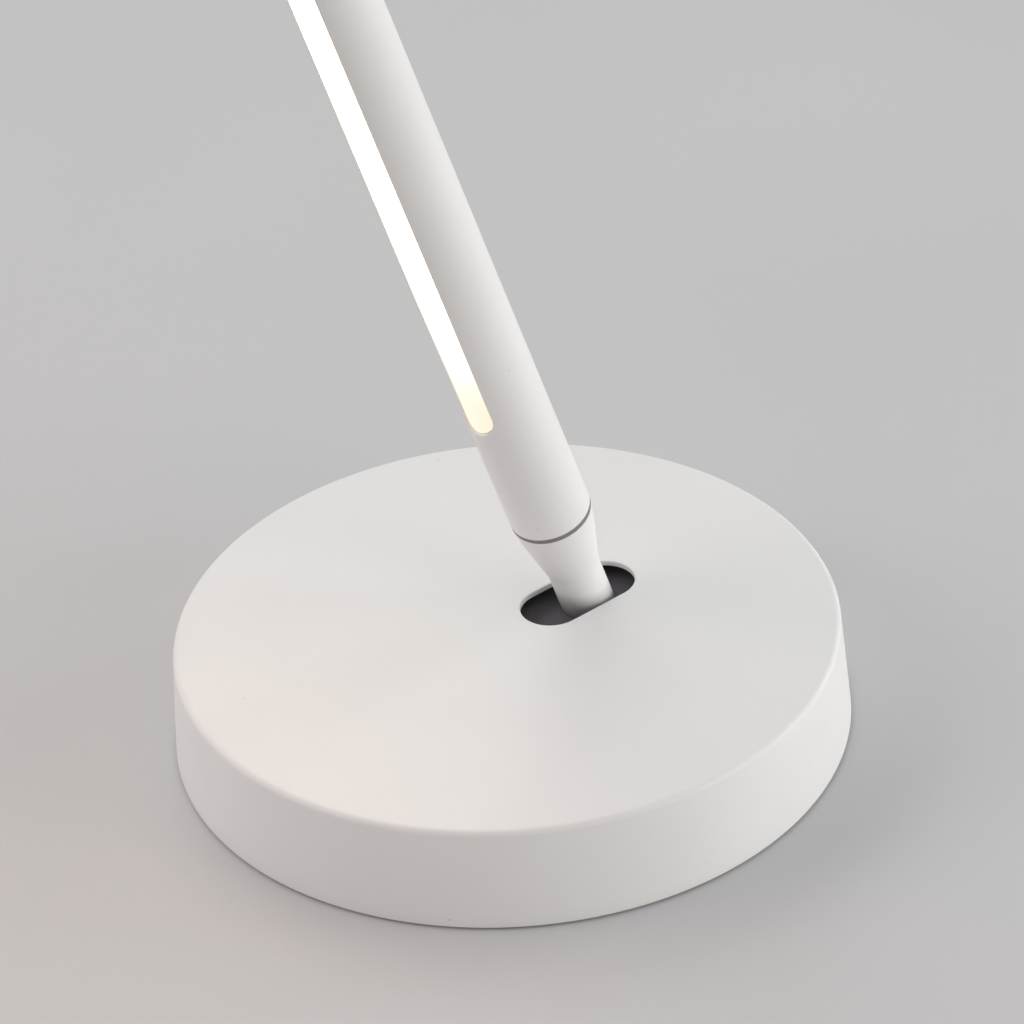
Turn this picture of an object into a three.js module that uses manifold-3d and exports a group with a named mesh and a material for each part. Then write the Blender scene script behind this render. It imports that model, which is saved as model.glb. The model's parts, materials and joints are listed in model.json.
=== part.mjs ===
// A floor lamp: a weighted round base, a short neck that tilts in a slot of the base,
// and a straight tube with a strip of LEDs that turns on the neck.
//
// Millimetres, +Z up. The origin is the centre of the base on the floor. The slot is on
// the +X side, and the lamp leans towards -X. The neck and the tube are drawn in the
// neck's own frame: its origin is the tilt pivot and its +Z runs along the tube.

import * as THREE from 'three';
import { mergeVertices } from 'three/addons/utils/BufferGeometryUtils.js';
import Module from 'manifold-3d';

const wasm = await Module();
wasm.setup();

// ---- driving dimensions -------------------------------------------------------------

const GAP = 0.3;                       // clearance between pieces that meet
const SEAT = 0.1;                      // glue or paint line between flat faces

const LEAN_DEG = 17;                   // lean of the tube from upright, at rest

const BASE_RADIUS = 125;
const BASE_TOP_RADIUS = 122.9;         // the side leans in a little towards the top
const BASE_HEIGHT = 42;
const BASE_FILLET = 2.4;
const COVER_LIFT = 1;                  // the cover's rim stays this far off the floor
const SHEET = 2.2;                     // the cover's sheet metal

const PAD_RADIUS = 117;
const PAD_THICKNESS = 1.2;
const PLATE_RADIUS = 121.8;
const PLATE_THICKNESS = 2;
const BALLAST_RADIUS = 118;
const BALLAST_THICKNESS = 16;

const SLOT_X = 34;                     // centre of the base's slot
const SLOT_LENGTH = 48.2;
const SLOT_WIDTH = 23.6;

const PIVOT_DEPTH = 28;                // tilt pivot below the top of the base
const AXIS_OFFSET = 2.75;              // where the tube's axis crosses the slot's plane

const NECK_RADIUS = 9.9;
const TUBE_RADIUS = 15.4;
const TUBE_WALL = 1.2;
const TUBE_LENGTH = 1200;
const WINDOW_WIDTH = 19;               // the long light window in the tube
const WINDOW_END = 55;                 // solid tube between each end and the window

const NECK_CYLINDER = 14.1;            // straight part of the neck above the base
const NECK_TOP = 42.6;                 // top of the neck above the base, along its axis
const GROOVE = 1.9;                    // groove between the neck and the tube

const AXLE_RADIUS = 4;
const KNUCKLE_RADIUS = 9;
const KNUCKLE_HALF = 10.7;             // half width of the knuckle along the axle
const EAR_THICKNESS = 3;
const EAR_RADIUS = 10;

const GAITER_Z = 34;                   // underside of the rubber gaiter below the slot
const GAITER_THICKNESS = 1;
const GAITER_HALF_WIDTH = 20;

const NIPPLE_RADIUS = 4.9;
const NIPPLE_BORE = 3.2;
const LEAD_RADIUS = 1.5;

// ---- levels worked out from them ----------------------------------------------------

const LEAN = THREE.MathUtils.degToRad(LEAN_DEG);
const PIVOT_X = SLOT_X + AXIS_OFFSET + PIVOT_DEPTH * Math.tan(LEAN);
const PIVOT_Z = BASE_HEIGHT - PIVOT_DEPTH;
const BASE_TOP = PIVOT_DEPTH / Math.cos(LEAN);  // base's top along the neck's axis
const NECK_END = BASE_TOP + NECK_TOP;
const TUBE_START = NECK_END + GROOVE;
const TUBE_END = TUBE_START + TUBE_LENGTH;

const PLATE_Z = PAD_THICKNESS + SEAT;
const PLATE_TOP = PLATE_Z + PLATE_THICKNESS;
const FLOOR_Z = PLATE_TOP + SEAT;      // where the pieces on the plate stand

const FINE = 60;                       // facets round the base
const ROUND = 32;                      // facets round the neck and the tube
const SMALL = 16;                      // facets round fasteners

// ---- materials ----------------------------------------------------------------------

function material(color, roughness, metalness) {
  return new THREE.MeshStandardMaterial({ color, roughness, metalness });
}

const WHITE_COAT = material(0xe8e5e2, 0.55, 0);
const STEEL = material(0xb4b6b8, 0.35, 1);
const DARK_STEEL = material(0x4c4e52, 0.5, 1);
const IRON = material(0x3b3b3d, 0.8, 0.6);
const ALUMINIUM = material(0xc4c6c8, 0.4, 1);
const RUBBER = material(0x222222, 0.9, 0);
const BLACK_PLASTIC = material(0x2a2a2c, 0.6, 0);
const GREY_NYLON = material(0x7d797c, 0.6, 0);
const OPAL = material(0xfffaf0, 0.4, 0);
const BOARD_WHITE = material(0xf0f0ea, 0.5, 0);
const BOARD_GREEN = material(0x2c5a3a, 0.5, 0);
const LEAD_WHITE = material(0xd9d7d2, 0.6, 0);
const FIBRE = material(0x6b5b45, 0.9, 0);
const BRASS = material(0xb59a5a, 0.3, 1);

// ---- solids -------------------------------------------------------------------------

/** Six times the signed volume between the origin and a triangle. */
function tripleProduct(points, a, b, c) {
  const p = new THREE.Vector3().fromBufferAttribute(points, a);
  const q = new THREE.Vector3().fromBufferAttribute(points, b);
  const r = new THREE.Vector3().fromBufferAttribute(points, c);
  return p.dot(q.cross(r));
}

/** A closed three.js geometry as a manifold solid with its faces pointing out. */
function solid(geometry) {
  geometry.deleteAttribute('normal');
  geometry.deleteAttribute('uv');
  const merged = mergeVertices(geometry);
  const points = merged.getAttribute('position');
  const index = merged.getIndex();
  const triangles = [];
  let volume = 0;
  for (let i = 0; i < index.count; i += 3) {
    const [a, b, c] = [index.getX(i), index.getX(i + 1), index.getX(i + 2)];
    if (a === b || b === c || c === a) continue;
    triangles.push([a, b, c]);
    volume += tripleProduct(points, a, b, c);
  }
  const outward = volume < 0 ? triangles.map(([a, b, c]) => [a, c, b]) : triangles;
  return new wasm.Manifold(new wasm.Mesh({
    numProp: 3,
    vertProperties: new Float32Array(points.array),
    triVerts: new Uint32Array(outward.flat()),
  }));
}

function join(first, ...others) {
  return others.reduce((whole, other) => whole.add(other), first);
}

function cut(first, ...tools) {
  return tools.reduce((whole, tool) => whole.subtract(tool), first);
}

function box(x0, x1, y0, y1, z0, z1) {
  const geometry = new THREE.BoxGeometry(x1 - x0, y1 - y0, z1 - z0);
  return solid(geometry.translate((x0 + x1) / 2, (y0 + y1) / 2, (z0 + z1) / 2));
}

/** A straight round bar, or a prism of few sides, from one point to another. */
function rod(radius, start, end, sides = SMALL) {
  const from = new THREE.Vector3(...start);
  const way = new THREE.Vector3(...end).sub(from);
  const length = way.length();
  const geometry = new THREE.CylinderGeometry(radius, radius, length, sides);
  geometry.translate(0, length / 2, 0);
  const up = new THREE.Vector3(0, 1, 0);
  geometry.applyQuaternion(new THREE.Quaternion().setFromUnitVectors(up, way.normalize()));
  return solid(geometry.translate(from.x, from.y, from.z));
}

/** A profile of [radius, z] points turned round Z. */
function turned(profile, facets = SMALL) {
  const outline = profile.map(([radius, z]) => new THREE.Vector2(radius, z));
  return solid(new THREE.LatheGeometry(outline, facets).rotateX(Math.PI / 2));
}

function ring(inner, outer, z0, z1, facets = SMALL) {
  return turned([[inner, z0], [outer, z0], [outer, z1], [inner, z1], [inner, z0]], facets);
}

/** A flat outline given thickness from z0 to z1; an arc gets twice curveSegments facets. */
function slab(shape, z0, z1, curveSegments = 8) {
  const options = { depth: z1 - z0, bevelEnabled: false, curveSegments };
  return solid(new THREE.ExtrudeGeometry(shape, options).translate(0, 0, z0));
}

/** A slot outline with round ends, its length along X. */
function obround(length, width) {
  const radius = width / 2;
  const half = length / 2 - radius;
  const shape = new THREE.Shape();
  shape.absarc(half, 0, radius, -Math.PI / 2, Math.PI / 2, false);
  shape.absarc(-half, 0, radius, Math.PI / 2, 1.5 * Math.PI, false);
  shape.closePath();
  return shape;
}

/** Part of a round band: between two radii, over an angle centred on middle. */
function bandShape(inner, outer, middle, halfAngle) {
  const shape = new THREE.Shape();
  shape.absarc(0, 0, outer, middle - halfAngle, middle + halfAngle, false);
  shape.absarc(0, 0, inner, middle + halfAngle, middle - halfAngle, true);
  shape.closePath();
  return shape;
}

/** What is left of a disc on the far side of the line x = chord. */
function dShape(radius, chord) {
  const angle = Math.acos(chord / radius);
  const shape = new THREE.Shape();
  shape.absarc(0, 0, radius, -angle, angle, false);
  shape.closePath();
  return shape;
}

/** A wire along a smooth curve through points. */
function lead(points, steps, sides = 8) {
  const path = new THREE.CatmullRomCurve3(points.map((p) => new THREE.Vector3(...p)));
  const section = new THREE.Shape();
  for (let i = 0; i < sides; i += 1) {
    const angle = (2 * Math.PI * i) / sides;
    const x = LEAD_RADIUS * Math.cos(angle);
    const y = LEAD_RADIUS * Math.sin(angle);
    if (i === 0) section.moveTo(x, y);
    else section.lineTo(x, y);
  }
  section.closePath();
  return solid(new THREE.ExtrudeGeometry(section, { steps, extrudePath: path }));
}

/** A countersunk screw standing on its head, which is at z = 0. */
function countersunkScrew(radius, headRadius, headHeight, length) {
  const rim = 0.4;
  const body = turned([
    [0, 0], [headRadius, 0], [headRadius, rim], [radius, headHeight], [radius, length], [0, length],
  ], 12);
  return cut(body, rod(radius * 0.8, [0, 0, -1], [0, 0, 1.1], 6));
}

/** The hole in a plate for such a screw, with clearance all round. */
function countersunkHole(radius, headRadius, headHeight, z0, z1) {
  const wide = headRadius + GAP;
  const narrow = radius + GAP;
  return turned([[0, z0 - 1], [wide, z0 - 1], [wide, z0 + 0.6], [narrow, z0 + headHeight + GAP],
    [narrow, z1 + 1], [0, z1 + 1]], 10);
}

/** A pan head screw with its head above z = 0 and its shank below. */
function panScrew(radius, headRadius, headHeight, length) {
  const body = turned([
    [0, -length], [radius, -length], [radius, 0], [headRadius, 0], [headRadius, headHeight * 0.6],
    [headRadius * 0.7, headHeight], [0, headHeight],
  ], 10);
  return cut(body, rod(radius * 0.7, [0, 0, headHeight * 0.4], [0, 0, headHeight + 1], 6));
}

// ---- scene graph --------------------------------------------------------------------

const lamp = new THREE.Group();

const neckFrame = new THREE.Group();
neckFrame.position.set(PIVOT_X, 0, PIVOT_Z);
neckFrame.rotation.y = -LEAN;
lamp.add(neckFrame);

const tubeFrame = new THREE.Group();   // turns about the neck's own axis
neckFrame.add(tubeFrame);

const axleFrame = new THREE.Group();   // its +Z runs along the tilt axle, towards +Y
axleFrame.position.set(PIVOT_X, 0, PIVOT_Z);
axleFrame.rotation.x = -Math.PI / 2;
lamp.add(axleFrame);

function addPart(frame, name, body, finish) {
  const mesh = body.getMesh();
  const geometry = new THREE.BufferGeometry();
  geometry.setAttribute('position', new THREE.BufferAttribute(mesh.vertProperties, 3));
  geometry.setIndex(new THREE.BufferAttribute(mesh.triVerts, 1));
  geometry.computeVertexNormals();
  const part = new THREE.Mesh(geometry, finish);
  part.name = name;
  frame.add(part);
  return part;
}

// ---- fasteners and where they go ----------------------------------------------------

const M4 = { radius: 1.7, headRadius: 3.6, headHeight: 1.7 };
const M5 = { radius: 2.3, headRadius: 4.4, headHeight: 1.8 };

function around(radius, startDeg, count) {
  const places = [];
  for (let i = 0; i < count; i += 1) {
    const angle = THREE.MathUtils.degToRad(startDeg + (360 / count) * i);
    places.push([radius * Math.cos(angle), radius * Math.sin(angle)]);
  }
  return places;
}

const POST_RADIUS = 5;
const COVER_POSTS = around(107, 60, 3);
const BALLAST_SCREWS = around(70, 90, 2).concat([[-70, 0]]);
const BRACKET_LENGTH = 46;
const BRACKET_SCREW_SPAN = 37;
const BRACKET_SCREWS = [-1, 1].flatMap((end) => [-1, 1].map((side) => (
  [PIVOT_X + (end * BRACKET_SCREW_SPAN) / 2, side * 8]
)));
const DRIVER_X = 86;                   // centre of the LED driver
const DRIVER_SCREW_Y = 24.5;
const DRIVER_SCREWS = [-1, 1].map((side) => [DRIVER_X, side * DRIVER_SCREW_Y]);

function addScrews(name, places, size, length, z) {
  places.forEach(([x, y], i) => {
    const body = countersunkScrew(size.radius, size.headRadius, size.headHeight, length);
    addPart(lamp, `${name}_${i + 1}`, body, DARK_STEEL).position.set(x, y, z);
  });
}

// ---- base ---------------------------------------------------------------------------

const INLET_Z = 18;
const INLET_RADIUS = 5.4;

/** Points of a quarter round from the side (angle 0) to the top (angle 90 degrees). */
function quarterRound(centreRadius, centreZ, radius, steps) {
  const points = [];
  for (let i = 0; i <= steps; i += 1) {
    const angle = (Math.PI / 2) * (i / steps);
    points.push([centreRadius + radius * Math.cos(angle), centreZ + radius * Math.sin(angle)]);
  }
  return points;
}

function baseCover() {
  const shoulderRadius = BASE_TOP_RADIUS - BASE_FILLET;
  const shoulderZ = BASE_HEIGHT - BASE_FILLET;
  const outside = quarterRound(shoulderRadius, shoulderZ, BASE_FILLET, 5);
  const inside = quarterRound(shoulderRadius, shoulderZ, BASE_FILLET - SHEET, 3).reverse();
  const edge = 0.5;
  const shell = turned([
    [BASE_RADIUS - SHEET, COVER_LIFT],
    [BASE_RADIUS - edge, COVER_LIFT],
    [BASE_RADIUS, COVER_LIFT + edge],
    ...outside,
    [0, BASE_HEIGHT],
    [0, BASE_HEIGHT - SHEET],
    ...inside,
    [BASE_RADIUS - SHEET, COVER_LIFT],
  ], FINE);
  const postDepth = 14;
  const posts = COVER_POSTS.map(([x, y]) => cut(
    rod(POST_RADIUS, [x, y, FLOOR_Z], [x, y, BASE_HEIGHT - SHEET / 2]),
    rod(M4.radius + GAP, [x, y, FLOOR_Z - 1], [x, y, FLOOR_Z + postDepth]),
  ));
  const slot = slab(obround(SLOT_LENGTH, SLOT_WIDTH), BASE_HEIGHT - SHEET - 1, BASE_HEIGHT + 1, 10)
    .translate([SLOT_X, 0, 0]);
  const inletHole = rod(INLET_RADIUS + GAP, [115, 0, INLET_Z], [130, 0, INLET_Z]);
  return cut(join(shell, ...posts), slot, inletHole);
}

function basePlate() {
  const disc = rod(PLATE_RADIUS, [0, 0, PLATE_Z], [0, 0, PLATE_TOP], FINE);
  const small = COVER_POSTS.concat(BRACKET_SCREWS);
  const holes = small.map(([x, y]) => (
    countersunkHole(M4.radius, M4.headRadius, M4.headHeight, PLATE_Z, PLATE_TOP).translate([x, y, 0])
  ));
  const large = BALLAST_SCREWS.map(([x, y]) => (
    countersunkHole(M5.radius, M5.headRadius, M5.headHeight, PLATE_Z, PLATE_TOP).translate([x, y, 0])
  ));
  const driver = DRIVER_SCREWS.map(([x, y]) => rod(1.8, [x, y, 0], [x, y, PLATE_TOP + 1], 12));
  return cut(disc, ...holes, ...large, ...driver);
}

const POCKET_START = 16;               // the ballast is open from here to its +X edge
const POCKET_HALF = 29;
const POCKET_CORNER = 6;

function ballast() {
  const angle = Math.asin(POCKET_HALF / BALLAST_RADIUS);
  const shape = new THREE.Shape();
  shape.absarc(0, 0, BALLAST_RADIUS, angle, 2 * Math.PI - angle, false);
  shape.lineTo(POCKET_START + POCKET_CORNER, -POCKET_HALF);
  shape.lineTo(POCKET_START, -POCKET_HALF + POCKET_CORNER);
  shape.lineTo(POCKET_START, POCKET_HALF - POCKET_CORNER);
  shape.lineTo(POCKET_START + POCKET_CORNER, POCKET_HALF);
  shape.closePath();
  const top = FLOOR_Z + BALLAST_THICKNESS;
  const disc = slab(shape, FLOOR_Z, top, FINE / 2);
  const postHoles = COVER_POSTS.map(([x, y]) => (
    rod(POST_RADIUS + 1, [x, y, FLOOR_Z - 1], [x, y, top + 1])
  ));
  const tapped = BALLAST_SCREWS.map(([x, y]) => (
    rod(M5.radius + GAP, [x, y, FLOOR_Z - 1], [x, y, FLOOR_Z + 11], 16)
  ));
  return cut(disc, ...postHoles, ...tapped);
}

addPart(lamp, 'base_cover', baseCover(), WHITE_COAT);
addPart(lamp, 'base_plate', basePlate(), STEEL);
addPart(lamp, 'base_pad', rod(PAD_RADIUS, [0, 0, 0], [0, 0, PAD_THICKNESS], FINE), RUBBER);
addPart(lamp, 'ballast_weight', ballast(), IRON);
addScrews('cover_screw', COVER_POSTS, M4, 12, PLATE_Z);
addScrews('ballast_screw', BALLAST_SCREWS, M5, 11, PLATE_Z);
addScrews('bracket_screw', BRACKET_SCREWS, M4, 6, PLATE_Z);

// ---- tilt joint ---------------------------------------------------------------------

const WASHER_THICKNESS = 1;
const EAR_INSIDE = KNUCKLE_HALF + GAP + WASHER_THICKNESS + GAP;
const EAR_OUTSIDE = EAR_INSIDE + EAR_THICKNESS;
const BRACKET_FLOOR = 2.5;
const SPRING_HEIGHT = 1.4;

/** A channel of steel with a window under the knuckle and an ear on each side of it. */
function pivotBracket() {
  const half = BRACKET_LENGTH / 2;
  const top = FLOOR_Z + BRACKET_FLOOR;
  const floor = box(PIVOT_X - half, PIVOT_X + half, -EAR_OUTSIDE, EAR_OUTSIDE, FLOOR_Z, top);
  const window = box(PIVOT_X - 11, PIVOT_X + 11, -EAR_INSIDE, EAR_INSIDE, 0, top + 1);
  const earHalf = 15;
  const ears = [-1, 1].map((side) => {
    const y0 = side * EAR_INSIDE;
    const y1 = side * EAR_OUTSIDE;
    const shape = new THREE.Shape();
    shape.moveTo(-earHalf, FLOOR_Z - PIVOT_Z);
    shape.lineTo(earHalf, FLOOR_Z - PIVOT_Z);
    shape.lineTo(EAR_RADIUS, 0);
    shape.absarc(0, 0, EAR_RADIUS, 0, Math.PI, false);
    shape.closePath();
    const plate = new THREE.ExtrudeGeometry(shape, { depth: EAR_THICKNESS, bevelEnabled: false });
    plate.rotateX(Math.PI / 2).translate(PIVOT_X, Math.max(y0, y1), PIVOT_Z);
    return solid(plate);
  });
  const bore = rod(AXLE_RADIUS + GAP, [PIVOT_X, -20, PIVOT_Z], [PIVOT_X, 20, PIVOT_Z]);
  const tapped = BRACKET_SCREWS.map(([x, y]) => (
    rod(M4.radius + GAP, [x, y, FLOOR_Z - 1], [x, y, top + 1], 16)
  ));
  return cut(join(floor, ...ears), window, bore, ...tapped);
}

/** A shoulder bolt through both ears: its head outside one, its end beyond the nut. */
function pivotAxle() {
  const head = EAR_OUTSIDE + GAP;
  const headHeight = 4;
  const end = EAR_OUTSIDE + 9;
  const headRadius = 7;
  const bevel = 0.7;
  const crown = -head - headHeight;
  const bolt = turned([
    [0, crown], [headRadius - bevel, crown], [headRadius, crown + bevel], [headRadius, -head],
    [AXLE_RADIUS, -head], [AXLE_RADIUS, end - bevel], [AXLE_RADIUS - bevel, end], [0, end],
  ]);
  return cut(bolt, rod(3, [0, 0, crown - 1], [0, 0, -head - 1.5], 6));
}

/** A conical disc spring, standing on its wide rim at z, or on its narrow one if turned over. */
function discSpring(z, turnedOver) {
  const inner = AXLE_RADIUS + GAP;
  const outer = 8;
  const thickness = 0.8;
  const rise = SPRING_HEIGHT - thickness;
  const low = turnedOver ? 0 : rise;
  const high = rise - low;
  return turned([[inner, z + low], [outer, z + high], [outer, z + high + thickness],
    [inner, z + low + thickness], [inner, z + low]]);
}

addPart(lamp, 'pivot_bracket', pivotBracket(), STEEL);
addPart(axleFrame, 'pivot_axle', pivotAxle(), DARK_STEEL);
[-1, 1].forEach((side, i) => {
  const inner = KNUCKLE_HALF + GAP;
  const z0 = side > 0 ? inner : -inner - WASHER_THICKNESS;
  const washer = ring(AXLE_RADIUS + GAP, KNUCKLE_RADIUS, z0, z0 + WASHER_THICKNESS);
  addPart(axleFrame, `friction_washer_${i + 1}`, washer, FIBRE);
});
const SPRING_START = EAR_OUTSIDE + GAP;
const SPRING_PITCH = SPRING_HEIGHT + 0.2;
addPart(axleFrame, 'disc_spring_1', discSpring(SPRING_START, false), STEEL);
addPart(axleFrame, 'disc_spring_2', discSpring(SPRING_START + SPRING_PITCH, true), STEEL);
const NUT_START = SPRING_START + 2 * SPRING_PITCH;
const axleNut = cut(
  rod(7.2, [0, 0, NUT_START], [0, 0, NUT_START + 4], 6),
  rod(AXLE_RADIUS + GAP, [0, 0, NUT_START - 1], [0, 0, NUT_START + 5]),
);
addPart(axleFrame, 'axle_nut', axleNut, STEEL);

// ---- power inlet and LED driver -----------------------------------------------------

/** A round socket for a plug on a lead, with the contact pin in the middle of its bore. */
function dcInlet() {
  const back = 107;
  const bezel = BASE_RADIUS - GAP;
  const face = bezel + 1.5;
  const floor = face - 10;
  const barrel = join(
    rod(INLET_RADIUS, [back, 0, INLET_Z], [face, 0, INLET_Z]),
    rod(7, [bezel, 0, INLET_Z], [face, 0, INLET_Z], 28),
  );
  const bored = cut(barrel, rod(2.8, [floor, 0, INLET_Z], [face + 1, 0, INLET_Z]));
  return join(bored, rod(1, [floor - 1, 0, INLET_Z], [face - 1, 0, INLET_Z], 12));
}

function inletNut() {
  const x1 = BASE_TOP_RADIUS - SHEET;
  const x0 = x1 - 3;
  return cut(
    rod(8, [x0, 0, INLET_Z], [x1, 0, INLET_Z], 6),
    rod(INLET_RADIUS + GAP, [x0 - 1, 0, INLET_Z], [x1 + 1, 0, INLET_Z]),
  );
}

const DRIVER_HALF_LENGTH = 13;
const DRIVER_HALF_WIDTH = 21;
const DRIVER_TOP = 17.5;
const DRIVER_LEAD_Z = 10;
const CASE_WALL = 1.5;

/** A plastic hood over the driver board, open below, with a foot on each side. */
function driverCase() {
  const [x0, x1] = [DRIVER_X - DRIVER_HALF_LENGTH, DRIVER_X + DRIVER_HALF_LENGTH];
  const hood = box(x0, x1, -DRIVER_HALF_WIDTH, DRIVER_HALF_WIDTH, FLOOR_Z, DRIVER_TOP);
  const feet = box(DRIVER_X - 4, DRIVER_X + 4, -DRIVER_SCREW_Y - 3.5, DRIVER_SCREW_Y + 3.5,
    FLOOR_Z, FLOOR_Z + 2);
  const inside = box(x0 + CASE_WALL, x1 - CASE_WALL, -DRIVER_HALF_WIDTH + CASE_WALL,
    DRIVER_HALF_WIDTH - CASE_WALL, 0, DRIVER_TOP - CASE_WALL);
  const leads = rod(LEAD_RADIUS + 0.6, [x0 - 1, 0, DRIVER_LEAD_Z], [x1 + 1, 0, DRIVER_LEAD_Z], 16);
  const holes = DRIVER_SCREWS.map(([x, y]) => rod(1.8, [x, y, 0], [x, y, 8], 12));
  return cut(join(hood, feet), inside, leads, ...holes);
}

/** The circuit board with its coil, two capacitors and two terminal blocks. */
function driverBoard() {
  const z0 = FLOOR_Z + 1;
  const z1 = z0 + 1.6;
  const board = box(DRIVER_X - 10.8, DRIVER_X + 10.8, -18.5, 18.5, z0, z1);
  const root = z1 - 0.2;
  const coil = box(DRIVER_X - 5, DRIVER_X + 5, 3.5, 13.5, root, z1 + 6.5);
  const capacitors = [-14, -7.5].map((y) => rod(2.9, [DRIVER_X, y, root], [DRIVER_X, y, z1 + 8]));
  const terminals = [-1, 1].map((side) => (
    box(DRIVER_X + side * 7.5 - 2.5, DRIVER_X + side * 7.5 + 2.5, -3, 3, root, z1 + 1.8)
  ));
  return join(board, coil, ...capacitors, ...terminals);
}

addPart(lamp, 'dc_inlet', dcInlet(), BLACK_PLASTIC);
addPart(lamp, 'inlet_nut', inletNut(), STEEL);
addPart(lamp, 'driver_case', driverCase(), BLACK_PLASTIC);
addPart(lamp, 'driver_board', driverBoard(), BOARD_GREEN);
DRIVER_SCREWS.forEach(([x, y], i) => {
  const screw = panScrew(1.4, 2.8, 2, 4);
  addPart(lamp, `driver_screw_${i + 1}`, screw, DARK_STEEL).position.set(x, y, FLOOR_Z + 2 + GAP);
});
addPart(lamp, 'inlet_lead', lead([
  [106.5, 0, INLET_Z], [103.5, 0, 17], [101.5, 0, 12], [99, 0, DRIVER_LEAD_Z], [93.5, 0, DRIVER_LEAD_Z],
], 12), LEAD_WHITE);
addPart(lamp, 'base_lead', lead([
  [79, 0, DRIVER_LEAD_Z], [72, 0, DRIVER_LEAD_Z], [68.5, 0, 11.2], [66.8, 0, 14],
], 8), LEAD_WHITE);

// ---- neck ---------------------------------------------------------------------------

const KNUCKLE_TOP = 12.7;
const SPIGOT_END = 28;
const SPIGOT_RADIUS = 7;
const GRUB_Z = 20;
const NECK_BORE_END = 50;
const PIN_RADIUS = 1.5;
const PIN_OFFSET = 10.4;               // the stop pin from the neck's axis

/** The hole for the stop pin, with clearance. */
function pinHole(start, end) {
  return rod(PIN_RADIUS + GAP, [PIN_OFFSET, 0, start], [PIN_OFFSET, 0, end]);
}

/** The neck's radius at a height above the base, along its axis. */
function neckRadius(height) {
  const u = (height - NECK_CYLINDER) / (NECK_TOP - NECK_CYLINDER);
  const swell = 1.19 * u - 0.19 * u * u;
  return NECK_RADIUS + (TUBE_RADIUS - NECK_RADIUS) * swell;
}

/** A turned shell: straight where it passes through the slot, then flaring to the tube. */
function neck() {
  const start = KNUCKLE_TOP + GAP;
  const flare = [];
  const steps = 5;
  for (let i = 0; i <= steps; i += 1) {
    const height = NECK_CYLINDER + ((NECK_TOP - 0.5 - NECK_CYLINDER) * i) / steps;
    flare.push([neckRadius(height), BASE_TOP + height]);
  }
  const shell = turned([
    [SPIGOT_RADIUS + GAP, start],
    [NECK_RADIUS - 0.5, start],
    [NECK_RADIUS, start + 0.5],
    ...flare,
    [TUBE_RADIUS - 0.5, NECK_END],
    [NIPPLE_RADIUS + GAP, NECK_END],
    [NIPPLE_RADIUS + GAP, NECK_BORE_END],
    [SPIGOT_RADIUS + GAP, NECK_BORE_END],
    [SPIGOT_RADIUS + GAP, start],
  ], ROUND);
  const grubHole = rod(2.1, [0, 5, GRUB_Z], [0, 12, GRUB_Z], 16);
  return cut(shell, grubHole, pinHole(NECK_END - 6, NECK_END + 1));
}

/** The eye on the axle, with a spigot up the neck and a way through it for the lead. */
function knuckle() {
  const eye = rod(KNUCKLE_RADIUS, [0, -KNUCKLE_HALF, 0], [0, KNUCKLE_HALF, 0], 32);
  const body = rod(KNUCKLE_RADIUS, [0, 0, 0], [0, 0, KNUCKLE_TOP], 32);
  const spigot = rod(SPIGOT_RADIUS, [0, 0, KNUCKLE_TOP - 1], [0, 0, SPIGOT_END], 28);
  const wireRadius = 2.6;
  const wireZ = 9.2;
  return cut(
    join(eye, body, spigot),
    rod(AXLE_RADIUS + GAP, [0, -20, 0], [0, 20, 0]),
    rod(wireRadius, [0, 0, wireZ - wireRadius], [0, 0, SPIGOT_END + 1], 16),
    rod(wireRadius, [0, 0, wireZ], [KNUCKLE_RADIUS + 2, 0, wireZ], 16),
    rod(2.1, [0, 5, GRUB_Z], [0, 12, GRUB_Z], 16),
  );
}

const WASHER_START = NECK_END + GAP;
const WASHER_END = TUBE_START - GAP;

function swivelWasher() {
  const inset = 0.35;
  const disc = ring(NIPPLE_RADIUS + GAP, TUBE_RADIUS - inset, WASHER_START, WASHER_END, ROUND);
  return cut(disc, pinHole(WASHER_START - 1, WASHER_END + 1));
}

const PLUG_START = TUBE_START + GAP;
const PLUG_END = PLUG_START + 18;
const BUSH_FLANGE = PLUG_END + GAP;
const WAVE_START = BUSH_FLANGE + 1.2 + GAP;
const SWIVEL_NUT_START = WAVE_START + 2 + GAP;
const SWIVEL_NUT_HEIGHT = 5;
const NIPPLE_END = SWIVEL_NUT_START + SWIVEL_NUT_HEIGHT + 2;

/** A thin ring bent into three waves. */
function waveWasher() {
  const facets = 24;
  const inner = NIPPLE_RADIUS + GAP;
  const outline = [[inner, 0], [8.5, 0], [8.5, 0.5], [inner, 0.5], [inner, 0]]
    .map(([radius, z]) => new THREE.Vector2(radius, z));
  const geometry = new THREE.LatheGeometry(outline, facets).rotateX(Math.PI / 2);
  const points = geometry.getAttribute('position');
  for (let i = 0; i < points.count; i += 1) {
    const angle = Math.atan2(points.getY(i), points.getX(i));
    const wave = 0.7 * (1 + Math.cos(3 * angle));
    points.setZ(i, WAVE_START + points.getZ(i) + wave);
  }
  return solid(geometry);
}

function neckLead() {
  return lead([
    [16.2, 0, 5], [14.8, 0, 8], [11, 0, 9.3], [5, 0, 9.2], [1.4, 0, 10.2], [0.1, 0, 14], [0, 0, 22],
    [0, 0, 50], [0, 0, 80], [0, 0, NIPPLE_END + 4],
  ], 36);
}

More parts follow.
